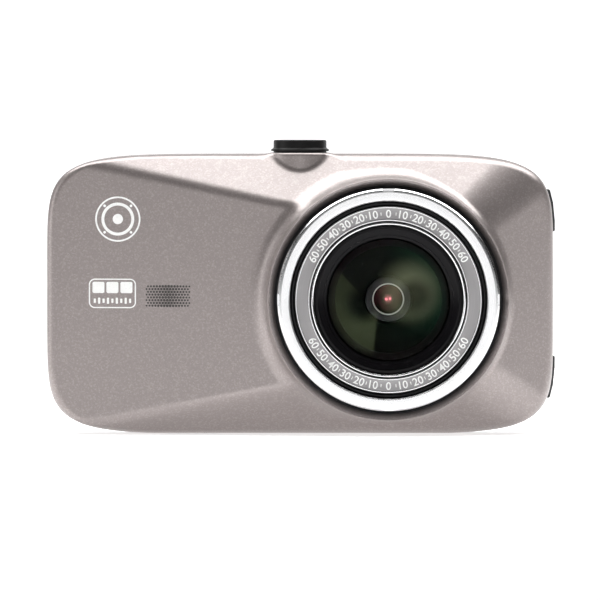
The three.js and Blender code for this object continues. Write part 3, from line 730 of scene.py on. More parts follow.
@dataclass(frozen=True)
class ScreenGlass(Finish):
    """Black-bordered screen behind glossy glass, with a faint grid of dots in the lit area."""

    centre: Pair = (8.0, 28.35)
    half: Pair = (33.0, 18.6)
    grid: Colour = (0.022, 0.026, 0.034, 1.0)

    def dress(self, shader: Shader, surface: Node, coordinates: Socket) -> None:
        """The lit area is a shade bluer than its printed border."""
        vector = self.centred(shader, coordinates, Vector((self.centre[0], 0.0, self.centre[1])))
        x, _, z = shader.parts(vector)
        inside = [
            shader.window(shader.maths("ABSOLUTE", offset), size * MM, (size - 0.15) * MM)
            for offset, size in zip((x, z), self.half)
        ]
        area = shader.maths("MULTIPLY", inside[0], inside[1])
        cells = shader.cells(vector, 5200.0).outputs["Distance"]
        tone = shader.blend(shader.maths("MULTIPLY", cells, 0.4), self.grid, (0.010, 0.012, 0.016, 1.0))
        shader.feed(surface.inputs["Base Color"], shader.blend(area, self.colour, tone))
        smear = shader.window(shader.noise(coordinates, 90.0, 4.0), 0.45, 0.8)
        shader.feed(surface.inputs["Roughness"], shader.spread(smear, self.roughness, self.roughness + 0.10))
        surface.inputs["Coat Weight"].default_value = 0.6
        surface.inputs["Coat Roughness"].default_value = 0.03


@dataclass(frozen=True)
class BoardMask(Finish):
    """Solder mask over copper tracks."""

    track: Colour = (0.10, 0.34, 0.17, 1.0)

    def dress(self, shader: Shader, surface: Node, coordinates: Socket) -> None:
        """Square-cornered cells stand for the tracks, which lie proud of the mask."""
        bricks = shader.node("ShaderNodeTexBrick", offset=0.37, squash=1.7)
        turned = shader.mapped(coordinates, Rotation=(math.pi / 2, 0.0, 0.0))
        shader.feed(bricks.inputs["Vector"], turned)
        bricks.inputs["Scale"].default_value = 420.0
        bricks.inputs["Mortar Size"].default_value = 0.035
        patches = shader.window(shader.noise(coordinates, 150.0, 1.0), 0.45, 0.5)
        lines = shader.maths("MULTIPLY", bricks.outputs["Fac"], patches)
        shader.feed(surface.inputs["Base Color"], shader.blend(lines, self.colour, self.track))
        shader.feed(surface.inputs["Roughness"], shader.spread(lines, self.roughness, self.roughness - 0.1))
        self.bump(shader, surface, lines, 0.03, 0.6)


@dataclass(frozen=True)
class WoundCopper(Finish):
    """Lacquered copper with the lines of its turns or tracks."""

    def dress(self, shader: Shader, surface: Node, coordinates: Socket) -> None:
        """Even bands across X with a little variation."""
        waves = shader.node("ShaderNodeTexWave", bands_direction="X")
        shader.feed(waves.inputs["Vector"], coordinates)
        waves.inputs["Scale"].default_value = 700.0
        waves.inputs["Distortion"].default_value = 0.4
        bands = waves.outputs["Fac"]
        dark = toned(self.colour, 0.45)
        shader.feed(surface.inputs["Base Color"], shader.blend(bands, dark, self.colour))
        shader.feed(surface.inputs["Roughness"], shader.spread(bands, self.roughness + 0.2, self.roughness))
        self.bump(shader, surface, bands, 0.05, 0.5)


@dataclass(frozen=True)
class PrintInk(Finish):
    """Pad-printed ink, slightly uneven in cover."""

    def dress(self, shader: Shader, surface: Node, coordinates: Socket) -> None:
        """Small pinholes and a soft change of cover."""
        cover = shader.window(shader.noise(coordinates, 2600.0, 3.0), 0.25, 0.45)
        thin = toned(self.colour, 0.86)
        shader.feed(surface.inputs["Base Color"], shader.blend(cover, thin, self.colour))
        shader.feed(surface.inputs["Roughness"], shader.spread(cover, self.roughness + 0.1, self.roughness))


@dataclass(frozen=True)
class ClearPlastic(Finish):
    """Clear or frosted plastic that passes light."""

    def dress(self, shader: Shader, surface: Node, coordinates: Socket) -> None:
        """Light frosting in the gloss."""
        surface.inputs["Transmission Weight"].default_value = 0.75
        surface.inputs["IOR"].default_value = 1.49
        frost = shader.noise(coordinates, 1200.0, 3.0)
        shader.feed(surface.inputs["Roughness"], shader.spread(frost, self.roughness, self.roughness + 0.15))


TITANIUM = FlakePaint(
    "titanium_paint", "titanium_paint", (0.300, 0.262, 0.254, 1.0), 0.37, 0.60, sparkle=0.38)
CASE_BLACK = MouldedPlastic("case_black", "black_texture", (0.016, 0.016, 0.018, 1.0), 0.55)
SIDE_KEY_BLACK = MouldedPlastic(
    "side_key_black", "black_texture", (0.030, 0.029, 0.030, 1.0), 0.38, relief=0.006)
TURRET_BLACK = MouldedPlastic(
    "turret_black", "turret_plastic", (0.008, 0.0078, 0.008, 1.0), 0.42, specular=0.22, relief=0.008)
KEY_CHARCOAL = MouldedPlastic("key_charcoal", "key_plastic", (0.055, 0.055, 0.058, 1.0), 0.40, relief=0.006)
BRIGHT_RING = TurnedMetal("bright_ring", "bright_ring", (0.86, 0.86, 0.87, 1.0), 0.20, 1.0)
TRIM_RING = TurnedMetal("trim_ring", "bright_ring", (0.82, 0.82, 0.83, 1.0), 0.16, 1.0)
SATIN_RING = TurnedMetal("satin_ring", "satin_ring", (0.37, 0.36, 0.365, 1.0), 0.46, 0.85, sheen=0.10)
INNER_RING = TurnedMetal("inner_ring", "satin_ring", (0.50, 0.52, 0.48, 1.0), 0.35, 0.9)
GLOSS_BLACK = PolishedPlastic("gloss_black", "gloss_black", (0.006, 0.0055, 0.0065, 1.0), 0.20, specular=0.10)
GROOVE_BLACK = PolishedPlastic(
    "groove_black", "black_texture", (0.006, 0.006, 0.007, 1.0), 0.30, specular=0.25)
# Front glass: its green sector, glow and rim are painted reflections, emitted as light.
COATED = CoatedGlass(
    "coated_glass", "coated_glass", (1.0, 1.0, 1.0, 1.0), 0.0, specular=0.02, index=1.22,
    tint=(0.03, 0.08, 0.04, 1.0), sector=(0.019, 0.023, 0.012, 1.0),
    glow=(0.068, 0.075, 0.045, 1.0), rim=(0.0008, 0.0065, 0.0032, 1.0),
)
INNER_GLASS = CoatedGlass(
    "inner_glass", "coated_glass", (0.93, 1.0, 0.94, 1.0), 0.0, specular=0.1, tint=(0.1, 0.2, 0.1, 1.0))
# Middle glass: its spot is a painted glint, emitted as light.
MAGENTA_GLASS = CoatedGlass(
    "magenta_glass", "coated_glass", (1.0, 0.80, 0.84, 1.0), 0.0, specular=0.1,
    tint=(0.3, 0.06, 0.1, 1.0), reach=0.9, spot=(0.75, 0.20, 0.24, 1.0),
)
BARREL = BarrelBlack("barrel_black", "black_texture", (0.003, 0.0035, 0.003, 1.0), 0.6, specular=0.05)
SCREEN = ScreenGlass("screen_glass", "screen_glass", (0.006, 0.006, 0.007, 1.0), 0.05)
PANEL = ScreenGlass("screen_panel", "screen_glass", (0.02, 0.02, 0.024, 1.0), 0.22)
BOARD = BoardMask("circuit_board", "circuit_board", (0.015, 0.085, 0.040, 1.0), 0.38)
EPOXY = MouldedPlastic(
    "chip_epoxy", "chip_epoxy", (0.022, 0.022, 0.025, 1.0), 0.62, grain=6000.0, relief=0.008)
SILICONE = MouldedPlastic("silicone_pad", "silicone_pad", (0.36, 0.40, 0.46, 1.0), 0.80, grain=1800.0)
TINNED = SheetMetal("tinned_steel", "tinned_steel", (0.62, 0.62, 0.63, 1.0), 0.28, 1.0)
SCREW = SheetMetal("zinc_screw", "zinc_screw", (0.14, 0.14, 0.145, 1.0), 0.34, 0.9)
COPPER = WoundCopper("copper_winding", "copper_winding", (0.60, 0.30, 0.14, 1.0), 0.30, 0.9)
FOIL = SheetMetal("battery_foil", "battery_foil", (0.66, 0.66, 0.68, 1.0), 0.34, 0.9)
CARD = MouldedPlastic(
    "card_plastic", "card_plastic", (0.020, 0.020, 0.023, 1.0), 0.50, grain=5000.0, relief=0.005)
PIPE = ClearPlastic("light_pipe", "light_pipe", (0.86, 0.90, 0.87, 1.0), 0.18)
WHITE_INK = PrintInk("white_ink", None, (0.96, 0.96, 0.95, 1.0), 0.50)
DARK_INK = PrintInk("dark_ink", None, (0.055, 0.050, 0.048, 1.0), 0.45)


# ---- mesh work --------------------------------------------------------------------------------------


class Shape:
    """A closed mesh under construction, in metres, with shorthand for bmesh operators."""

    def __init__(self) -> None:
        """Starts with an empty mesh."""
        self.mesh = bmesh.new()

    def bevel(self, width: float, segments: int, chosen: Callable[[bmesh.types.BMEdge], bool]) -> "Shape":
        """Rounds chosen edges.

        Args:
            width: Width of the rounding in millimetres.
            segments: Its segments.
            chosen: Says whether an edge is rounded.

        Returns:
            The shape itself.
        """
        edges = [edge for edge in self.mesh.edges if chosen(edge)]
        bmesh.ops.bevel(
            self.mesh, geom=edges, offset=width * MM, segments=segments,
            affect="EDGES", profile=0.5, material=-1, clamp_overlap=True,
        )
        return self

    def turned(self, profile: Sequence[Pair], centre: Vector, axis: Axis = Axis.LENS,
               steps: int = 128) -> "Shape":
        """Adds a solid turned from a profile.

        Args:
            profile: Points as (radius, depth) about the lens axis, or (radius, z) about an upright one.
            centre: A place on the axis in millimetres.
            axis: Direction of the axis.
            steps: Straight pieces in a full turn.

        Returns:
            The shape itself.
        """
        upright = axis is Axis.UPRIGHT
        places = [
            Vector((centre.x + radius, centre.y, height)) * MM if upright
            else point(centre.x + radius, height, centre.z)
            for radius, height in profile
        ]
        vertices = [self.mesh.verts.new(place) for place in places]
        ends = [*vertices[1:], vertices[0]]
        radii = [radius for radius, _ in profile]
        edges = [
            self.mesh.edges.new(pair)
            for pair, first, second in zip(zip(vertices, ends), radii, [*radii[1:], radii[0]])
            if max(first, second) > ON_AXIS
        ]
        bmesh.ops.spin(
            self.mesh, geom=vertices + edges, cent=centre * MM, axis=axis.value,
            angle=2 * math.pi, steps=steps, use_merge=True,
        )
        bmesh.ops.remove_doubles(self.mesh, verts=self.mesh.verts, dist=1e-7)
        return self.sound()

    def block(self, low: Vector, high: Vector) -> "Shape":
        """Adds a box between two places in millimetres."""
        size = high - low
        matrix = Matrix.Translation((low + high) / 2 * MM) @ Matrix.Diagonal((size * MM).to_4d())
        bmesh.ops.create_cube(self.mesh, size=1.0, matrix=matrix)
        return self

    def loft(self, sections: Sequence[tuple[Sequence[Pair], float]]) -> "Shape":
        """Adds a solid through flat outlines in X and Z.

        Args:
            sections: Each outline with its depth, all with as many points.

        Returns:
            The shape itself.
        """
        rows = [[self.mesh.verts.new(point(x, depth, z)) for x, z in outline] for outline, depth in sections]
        for first, second in zip(rows, rows[1:]):
            for index, vertex in enumerate(first):
                after = (index + 1) % len(first)
                self.mesh.faces.new((vertex, first[after], second[after], second[index]))
        self.mesh.faces.new(rows[0])
        self.mesh.faces.new(rows[-1])
        return self.sound()

    def slab(self, outline: Sequence[Pair], first: float, last: float) -> "Shape":
        """Adds a flat outline in X and Z, thick from one depth to another."""
        return self.loft([(outline, first), (outline, last)])

    def tube(self, outer: Sequence[Pair], inner: Sequence[Pair], first: float, last: float) -> "Shape":
        """Adds the solid between two outlines of as many points."""
        rows = [
            [self.mesh.verts.new(point(x, depth, z)) for x, z in outline]
            for outline, depth in ((outer, first), (outer, last), (inner, last), (inner, first))
        ]
        for one, other in zip(rows, [*rows[1:], rows[0]]):
            for index, vertex in enumerate(one):
                after = (index + 1) % len(one)
                self.mesh.faces.new((vertex, one[after], other[after], other[index]))
        return self.sound()

    def sound(self) -> "Shape":
        """Points every face outwards."""
        bmesh.ops.recalc_face_normals(self.mesh, faces=self.mesh.faces)
        return self

    def data(self, name: str, smooth: float = 35.0) -> bpy.types.Mesh:
        """Finishes the mesh.

        Args:
            name: Name of the mesh.
            smooth: Edges sharper than this, in degrees, stay sharp.

        Returns:
            The mesh.
        """
        shade(self.mesh, smooth)
        made = bpy.data.meshes.new(name)
        self.mesh.to_mesh(made)
        self.mesh.free()
        return made

    def object(self, name: str, finish: Finish, smooth: float = 35.0) -> bpy.types.Object:
        """Finishes the mesh as an object with a finish."""
        made = bpy.data.objects.new(name, self.data(name, smooth))
        bpy.context.scene.collection.objects.link(made)
        made.data.materials.append(finish.material())
        return made


def shade(work: bmesh.types.BMesh, degrees: float) -> None:
    """Shades a mesh smooth but for the edges sharper than an angle."""
    limit = math.radians(degrees)
    for face in work.faces:
        face.smooth = True
    for edge in work.edges:
        edge.smooth = len(edge.link_faces) != 2 or edge.calc_face_angle(0.0) < limit


def rounded_box(low: Vector, high: Vector, corner: float, edge: float, segments: int = 3) -> Shape:
    """A box whose corners seen from the rear are rounded, and whose other edges are broken.

    Args:
        low: Lowest corner in millimetres.
        high: Highest corner in millimetres.
        corner: Radius of the four edges that run front to back.
        edge: Width of the breaking of the rest.
        segments: Segments of each rounding.

    Returns:
        The shape.
    """
    shape = Shape().block(low, high)
    if corner > 0:
        shape.bevel(corner, 6, lambda item: is_along(item, 1))
    if edge > 0:
        shape.bevel(edge, segments, lambda item: item.calc_face_angle(0.0) > 0.8)
    return shape


def is_along(edge: bmesh.types.BMEdge, axis: int) -> bool:
    """Whether an edge runs along X, Y or Z (0, 1 or 2)."""
    run = (edge.verts[1].co - edge.verts[0].co).normalized()
    return abs(run[axis]) > 0.999


def rectangle(x: float, z: float, width: float, height: float, corner: float, steps: int = 6) -> list[Pair]:
    """Outline of a rectangle with rounded corners, about its centre."""
    a, b = width / 2, height / 2
    return rounded([
        (x - a, z - b, corner), (x + a, z - b, corner), (x + a, z + b, corner), (x - a, z + b, corner),
    ], steps)


def circle(x: float, z: float, radius: float, steps: int = 32) -> list[Pair]:
    """Outline of a circle."""
    turns = [2 * math.pi * step / steps for step in range(steps)]
    return [(x + radius * math.cos(turn), z + radius * math.sin(turn)) for turn in turns]


def cut(target: bpy.types.Object, cutters: Sequence[bpy.types.Object]) -> None:
    """Takes cutters out of an object and removes them.

    Args:
        target: Object that is cut.
        cutters: Closed objects to take away.
    """
    for cutter in cutters:
        step = target.modifiers.new("cut", "BOOLEAN")
        step.operation = "DIFFERENCE"
        step.solver = "MANIFOLD"
        step.object = cutter
    bpy.context.view_layer.update()
    evaluated = target.evaluated_get(bpy.context.evaluated_depsgraph_get())
    finished = bpy.data.meshes.new_from_object(evaluated)
    target.modifiers.clear()
    target.data = finished
    for cutter in cutters:
        bpy.data.objects.remove(cutter, do_unlink=True)
    work = bmesh.new()
    work.from_mesh(target.data)
    shade(work, 35.0)
    work.to_mesh(target.data)
    work.free()


@dataclass
class Assembly:
    """A group of pieces that is built and dressed together."""

    pieces: list[bpy.types.Object] = field(default_factory=list, init=False)

    def build(self) -> None:
        """Makes the meshes and dresses them."""
        raise NotImplementedError

    def keep(self, piece: bpy.types.Object, body: Body, nodes: Sequence[str] = (),
             slot: str | None = None) -> None:
        """Makes a finished object part of the camera.

        Args:
            piece: The object.
            body: Group that it rides on.
            nodes: CAD nodes that it stands for.
            slot: Material slot of the record; not used.
        """
        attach(piece, body.value)
        if nodes:
            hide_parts(*nodes)
        self.pieces.append(piece)
        LOG.info("%s: %d faces", piece.name, len(piece.data.polygons))

    def refine(self, node: str, finish: Finish, body: Body = Body.CASE, bevel: float = 0.12,
               segments: int = 2, smooth: float = 40.0) -> bpy.types.Object:
        """Copies a CAD node, breaks its sharp edges and gives it a finish.

        Args:
            node: The CAD node.
            finish: Finish of the copy.
            body: Group that it rides on.
            bevel: Width of the broken edges in millimetres, 0 for none.
            segments: Segments of each broken edge.
            smooth: Angle in degrees that stays sharp.

        Returns:
            The finished piece.
        """
        shape = Shape()
        shape.mesh.from_mesh(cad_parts[node].data)
        bmesh.ops.remove_doubles(shape.mesh, verts=shape.mesh.verts, dist=1e-6)
        bmesh.ops.dissolve_limit(
            shape.mesh, angle_limit=math.radians(1.0), verts=shape.mesh.verts, edges=shape.mesh.edges)
        shape.sound()
        if bevel > 0:
            shape.bevel(bevel, segments, lambda edge: edge.calc_face_angle(0.0) > math.radians(50))
        piece = shape.object(f"{node}_detail", finish, smooth)
        self.keep(piece, body, [node], finish.slot)
        return piece

    def log(self) -> None:
        """Reports the assembly."""
        LOG.info("%s: %d pieces", type(self).__name__, len(self.pieces))


# ---- front shell ------------------------------------------------------------------------------------


@dataclass
class Opening:
    """A box cut through the front shell, with its edges along one axis rounded."""

    low: Corner
    high: Corner
    corner: float
    axis: int

    def cutter(self) -> bpy.types.Object:
        """The box as an object; its corners are (x, depth, z)."""
        first = Vector((self.low[0], REAR_Y - self.high[1], self.low[2]))
        last = Vector((self.high[0], REAR_Y - self.low[1], self.high[2]))
        shape = Shape().block(first, last)
        if self.corner > 0:
            shape.bevel(self.corner, 4, lambda edge: is_along(edge, self.axis))
        return shape.object("opening", CASE_BLACK)


@dataclass
class FrontShell(Assembly):
    """Faceted shell with the round boss of the lens, swept in rings about the lens axis."""

    half_width: float = 51.5
    half_height: float = 28.5
    centre_z: float = 28.35
    exponent: float = 6.4
    wall: float = 2.0
    seam: float = 5.0
    side_edge: float = 15.0
    face_edge: float = 24.5
    face_x: Pair = (-1.1, 36.5)
    face_z: Pair = (10.05, 46.25)
    base_z: Pair = (0.0, 57.0)
    collar_radius: float = 6.7
    collar_depth: float = 11.5
    boss_radius: float = 24.5
    boss_rim: float = 28.0
    bore_radius: float = 22.95
    hole_radius: float = 14.2
    hole_back: float = 23.4
    seat: float = 25.2
    # Inside this radius the mouth of the bore is black: painted shade.
    painted_shade_radius: float = 23.12
    directions: int = 420
    outer_rings: int = 74
    gap: float = 0.3
    right_cut: Pair = (46.0, 54.0)
    left_cut: Pair = (-54.0, -46.0)
    key_depths: Pair = (8.0, 12.4)
    key_half: float = 4.3
    usb_depths: Pair = (7.1, 11.0)
    card_depths: Pair = (7.35, 8.85)
    card_z: Pair = (12.4, 24.4)
    sound_slots: int = 6
    sound_start: float = -26.5
    sound_pitch: float = 1.8
    sound_half: float = 0.45
    sound_depths: Pair = (8.3, 13.2)
    floor_cut: Pair = (-2.0, 2.45)
    microphone: Corner = (-4.0, 10.7, 0.6)
    stub_bore: Corner = (5.7, 50.0, 60.0)

    def outline(self, angle: float, inset: float = 0.0) -> float:
        """Distance from the lens axis to the side of the case.

        Args:
            angle: Direction seen from the rear-facing plane, in radians.
            inset: How far inside the side to stop.

        Returns:
            The distance in millimetres.
        """
        low, high = 0.0, 90.0
        for _ in range(34):
            reach = (low + high) / 2
            if self.is_inside(LENS.x + reach * math.cos(angle), LENS.z + reach * math.sin(angle), inset):
                low = reach
            else:
                high = reach
        return low

    def is_inside(self, x: float, z: float, inset: float) -> bool:
        """Whether a place lies within the side of the case."""
        a, b = self.half_width - inset, self.half_height - inset
        if abs(x) < self.collar_radius + 0.2 and z > self.centre_z:
            b += 0.2 * smooth_step(self.collar_radius + 0.2, self.collar_radius - 1.0, abs(x))
        if z < self.centre_z and abs(x) < 30:
            return z > 0.0 + inset
        share = abs(x / a) ** self.exponent + abs((z - self.centre_z) / b) ** self.exponent
        return share < 1.0

    def facet(self, x: float, z: float) -> float:
        """Depth of the four slanting faces and the flat between them."""
        rise = self.face_edge - self.side_edge
        left = (x + self.half_width) / (self.face_x[0] + self.half_width)
        right = (self.half_width - x) / (self.half_width - self.face_x[1])
        bottom = (z - self.base_z[0]) / (self.face_z[0] - self.base_z[0])
        top = (self.base_z[1] - z) / (self.base_z[1] - self.face_z[1])
        soft = 0.9 + 6.0 * smooth_step(20.0, 42.0, x)
        across = self.side_edge + rise * min(left, right)
        upright = self.side_edge + rise * min(bottom, top)
        slope = smooth_min(across, upright, soft)
        return smooth_min(slope, self.face_edge, 1.2)

    def collar(self, x: float) -> float:
        """Depth of the round guide of the turning stub."""
        if abs(x) >= self.collar_radius:
            return 0.0
        return self.collar_depth + math.sqrt(self.collar_radius ** 2 - x * x)

    def fillet(self, radius: float, limit: float, x: float) -> float:
        """Extra depth of the concave fillet at the foot of the boss.

        Args:
            radius: Distance from the lens axis.
            limit: Free distance between the boss and the side.
            x: Place across, for the size of the fillet.

        Returns:
            The extra depth.
        """
        size = 3.6 - 2.2 * smooth_step(8.0, 34.0, x)
        size = min(size, max(limit * 0.6, 0.05))
        past = radius - self.boss_radius
        if past >= size:
            return 0.0
        return size - math.sqrt(size * size - (size - past) ** 2)

    def surface(self, angle: float, radius: float, reach: float) -> float:
        """Depth of the outer face.

        Args:
            angle: Direction from the lens axis.
            radius: Distance from the lens axis.
            reach: Distance to the side in this direction.

        Returns:
            The depth in millimetres.
        """
        x = LENS.x + radius * math.cos(angle)
        z = LENS.z + radius * math.sin(angle)
        depth = self.facet(x, z)
        if z > self.centre_z:
            depth = -smooth_min(-depth, -self.collar(x), 0.5)
        limit = reach - self.boss_radius - 1.2
        depth += min(self.fillet(radius, limit, x), max(0.0, (self.boss_rim - 0.5 - depth) * 0.92))
        return depth

    def side_round(self, angle: float, reach: float) -> float:
        """Radius of the rounding between the outer face and the side."""
        x = LENS.x + reach * math.cos(angle)
        near_collar = 1.0 - smooth_step(self.collar_radius - 0.5, self.collar_radius + 2.0, abs(x))
        is_top = math.sin(angle) > 0
        return 1.5 - 0.85 * near_collar * (1.0 if is_top else 0.0)

    def stations(self) -> list[Callable[[float, float], Pair]]:
        """The rings from the lens hole outwards, over the side, and back along the inside.

        Returns:
            Functions from (angle, reach) to (radius, depth).
        """
        hole, bore, boss = self.hole_radius, self.bore_radius, self.boss_radius
        fixed = [(hole, self.hole_back), (hole, 24.3), (hole, self.seat), (18.0, self.seat),
                 (bore, self.seat), (bore, 26.0)]
        fixed += rounded([
            (bore, 26.0, 0), (bore, 26.6, 0.10), (self.painted_shade_radius, 26.78, 0), (24.25, 27.95, 0.12),
            (boss, self.boss_rim, 0.12), (boss, 27.6, 0),
        ], 3, closed=False)[1:]
        made: list[Callable[[float, float], Pair]] = []
        for radius, depth in fixed[:-1]:
            made.append(lambda angle, reach, r=radius, d=depth: (r, d))
        for index in range(self.outer_rings + 1):
            made.append(lambda angle, reach, i=index: self.face_ring(angle, reach, i))
        for step in range(1, 8):
            made.append(lambda angle, reach, s=step: self.side_ring(angle, reach, s / 7))
        for share in (0.35, 0.7, 1.0):
            made.append(lambda angle, reach, s=share: self.wall_ring(angle, reach, s))
        made.append(lambda angle, reach: (self.outline(angle, self.wall), self.seam))
        for share in (0.0, 0.33, 0.66, 1.0):
            made.append(lambda angle, reach, s=share: self.inner_ring(angle, s))
        return made

    def face_ring(self, angle: float, reach: float, index: int) -> Pair:
        """A ring on the outer face, packed closer near the boss and the side."""
        edge = reach - self.side_round(angle, reach)
        t = index / self.outer_rings
        share = 0.5 * t + 0.5 * (t * t * (3 - 2 * t))
        radius = self.boss_radius + (edge - self.boss_radius) * share
        if index == 0:
            x = LENS.x + radius * math.cos(angle)
            return radius, min(max(self.surface(angle, radius, reach), 24.6), self.boss_rim - 0.3)
        return radius, self.surface(angle, radius, reach)

    def side_ring(self, angle: float, reach: float, share: float) -> Pair:
        """A ring on the rounding between the outer face and the side."""
        size = self.side_round(angle, reach)
        turn = share * math.pi / 2
        radius = reach - size + size * math.sin(turn)
        return radius, self.surface(angle, radius, reach) - size * (1 - math.cos(turn))

    def wall_ring(self, angle: float, reach: float, share: float) -> Pair:
        """A ring on the side, from its rounding to the seam."""
        start = self.surface(angle, reach, reach) - self.side_round(angle, reach)
        return reach, start + (self.seam - start) * share

    def inner_ring(self, angle: float, share: float) -> Pair:
        """A ring on the inside of the shell."""
        reach = self.outline(angle, self.wall)
        rim = self.hole_radius + (reach - self.hole_radius) * (1 - share)
        x, z = LENS.x + rim * math.cos(angle), LENS.z + rim * math.sin(angle)
        return rim, self.facet(x, z) - self.wall if share < 1.0 else self.hole_back - 1e-3

    def body(self) -> bpy.types.Object:
        """The shell before its openings are cut."""
        angles = [2 * math.pi * index / self.directions for index in range(self.directions)]
        reaches = [self.outline(angle) for angle in angles]
        shape = Shape()
        rows: list[list[bmesh.types.BMVert]] = []
        for station in self.stations():
            row = []
            for angle, reach in zip(angles, reaches):
                radius, depth = station(angle, reach)
                x, z = LENS.x + radius * math.cos(angle), LENS.z + radius * math.sin(angle)
                row.append(shape.mesh.verts.new(point(x, depth, z)))
            rows.append(row)
        for first, second in zip(rows, [*rows[1:], rows[0]]):
            for index in range(self.directions):
                after = (index + 1) % self.directions
                shape.mesh.faces.new((first[index], first[after], second[after], second[index]))
        # Painted shade: faces inside the mouth of the bore are black, standing in for the shade in the gap
        # round the bezel.
        for face in shape.mesh.faces:
            place = face.calc_center_median() / MM
            is_bore = math.hypot(place.x - LENS.x, place.z - LENS.z) < self.painted_shade_radius
            face.material_index = int(is_bore and REAR_Y - place.y > self.face_edge)
        shape.sound()
        shell = shape.object("front_shell_body", TITANIUM, 28.0)
        shell.data.materials.append(CASE_BLACK.material())
        return shell

    def openings(self) -> list[bpy.types.Object]:
        """Cutters for the stub, the side keys, the sockets, the sound slots and the microphone."""
        gap = self.gap
        boxes: list[Opening] = []
        for node in ("power_key", "lock_key"):
            centre, half = middle(node).z, self.key_half + gap
            boxes.append(self.side_opening(
                self.right_cut, self.key_depths, (centre - half, centre + half), gap, 0.7))
        low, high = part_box("usb_socket")
        socket_z = (low.z / MM - gap, high.z / MM + gap)
        boxes.append(self.side_opening(self.left_cut, self.usb_depths, socket_z, gap, 0.8))
        boxes.append(self.side_opening(self.left_cut, self.card_depths, self.card_z, 0.0, 0.35))
        for index in range(self.sound_slots):
            x = self.sound_start + self.sound_pitch * index
            boxes.append(Opening(
                (x - self.sound_half, self.sound_depths[0], self.floor_cut[0]),
                (x + self.sound_half, self.sound_depths[1], self.floor_cut[1]), 0.4, 2))
        x, depth, radius = self.microphone
        sound = self.rod(Vector((x, REAR_Y - depth, 0)), radius, self.floor_cut, 24)
        bore = self.rod(Vector((0, STUB.y, 0)), self.stub_bore[0], self.stub_bore[1:], 96)
        return [*(box.cutter() for box in boxes), sound, bore]

    def side_opening(self, across: Pair, depth: Pair, upright: Pair, gap: float,
                     corner: float) -> Opening:
        """A box through the left or right side, wider in depth by a gap."""
        return Opening(
            (across[0], depth[0] - gap, upright[0]), (across[1], depth[1] + gap, upright[1]), corner, 0)

    def rod(self, centre: Vector, radius: float, span: Pair, steps: int) -> bpy.types.Object:
        """Round upright cutter from one height to another."""
        low, high = span
        profile = [(0, low), (radius, low), (radius, high), (0, high)]
        return Shape().turned(profile, centre, Axis.UPRIGHT, steps).object("opening", CASE_BLACK)

    def build(self) -> None:
        """Sweeps the shell, cuts its openings and dresses it."""
        shell = self.body()
        cut(shell, self.openings())
        self.keep(shell, Body.CASE, ["front_shell"], TITANIUM.slot)
        self.log()


# ---- rear cover -------------------------------------------------------------------------------------


@dataclass
class RearCover(Assembly):
    """Dished rear cover with a lip inside the shell, the window recess and the key openings."""

    shell: FrontShell
    depth: float = 4.7
    lip_end: float = 6.2
    plate: float = 1.8
    edge_round: float = 3.4
    window: tuple[float, float, float, float] = (8.0, 28.35, 70.0, 41.0)
    opening: Pair = (66.0, 38.0)
    recess: float = 1.4
    break_width: float = 0.22

    def outline(self, inset: float) -> list[Pair]:
        """The side of the case, seen from the front, moved inwards."""
        count = self.shell.directions
        angles = [2 * math.pi * index / count for index in range(count)]
        reaches = [self.shell.outline(angle, inset) for angle in angles]
        return [
            (LENS.x + reach * math.cos(angle), LENS.z + reach * math.sin(angle))
            for angle, reach in zip(angles, reaches)
        ]

    def body(self) -> bpy.types.Object:
        """The cover with its rounded rear edge, before the cuts."""
        sections: list[tuple[list[Pair], float]] = []
        for step in range(9):
            turn = math.pi / 2 * step / 8
            inset = self.edge_round * (1 - math.sin(turn))
            sections.append((self.outline(inset), self.edge_round * (1 - math.cos(turn))))
        sections.append((self.outline(0.0), self.depth))
        sections.append((self.outline(0.0), self.lip_end))
        return Shape().loft(sections).object("rear_cover_body", CASE_BLACK)

    def well(self, wide: Sequence[Pair], tight: Sequence[Pair], last: float) -> bpy.types.Object:
        """Cutter for an opening whose outer edge is broken."""
        shape = Shape().loft([(wide, -1.0), (wide, 0.0), (tight, self.break_width), (tight, last)])
        return shape.object("opening", CASE_BLACK)

    def rectangular(self, x: float, z: float, width: float, height: float, corner: float,
                    last: float) -> bpy.types.Object:
        """Cutter for a rectangular opening."""
        grow = self.break_width
        wide = rectangle(x, z, width + 2 * grow, height + 2 * grow, corner + grow)
        return self.well(wide, rectangle(x, z, width, height, corner), last)

    def cutters(self) -> list[bpy.types.Object]:
        """Everything that is taken out of the cover."""
        x, z, width, height = self.window
        outside = Shape().tube(self.outline(-2.0), self.outline(2.3), self.depth, self.lip_end + 2)
        hollow = Shape().slab(self.outline(3.3), self.plate, self.lip_end + 2)
        screen = Shape().slab(rectangle(x, z, *self.opening, 1.0), -1.0, self.plate + 1)
        made = [
            outside.object("opening", CASE_BLACK),
            hollow.object("opening", CASE_BLACK),
            self.rectangular(x, z, width, height, 1.6, self.recess),
            screen.object("opening", CASE_BLACK),
        ]
        for key in RearKeys.NODES:
            place = middle(key)
            made.append(self.rectangular(place.x, place.z, 9.6, 5.2, 1.8, self.plate + 1))
        for node, radius in (("power_light_pipe", 1.2), ("record_light_pipe", 1.2)):
            place = middle(node)
            made.append(self.round_hole(place, radius, self.plate + 1))
        for index in range(1, 5):
            place = middle(f"case_screw_{index}")
            made.append(self.round_hole(place, 1.8, 1.45))
            made.append(self.round_hole(place, 1.1, self.plate + 1))
        return made

    def round_hole(self, place: Vector, radius: float, last: float) -> bpy.types.Object:
        """Cutter for a round hole."""
        wide = circle(place.x, place.z, radius + self.break_width)
        return self.well(wide, circle(place.x, place.z, radius), last)

    def build(self) -> None:
        """Makes the cover, cuts it and dresses it."""
        cover = self.body()
        cut(cover, self.cutters())
        self.keep(cover, Body.CASE, ["rear_cover"], CASE_BLACK.slot)
        self.log()


# ---- prints on the shell ----------------------------------------------------------------------------


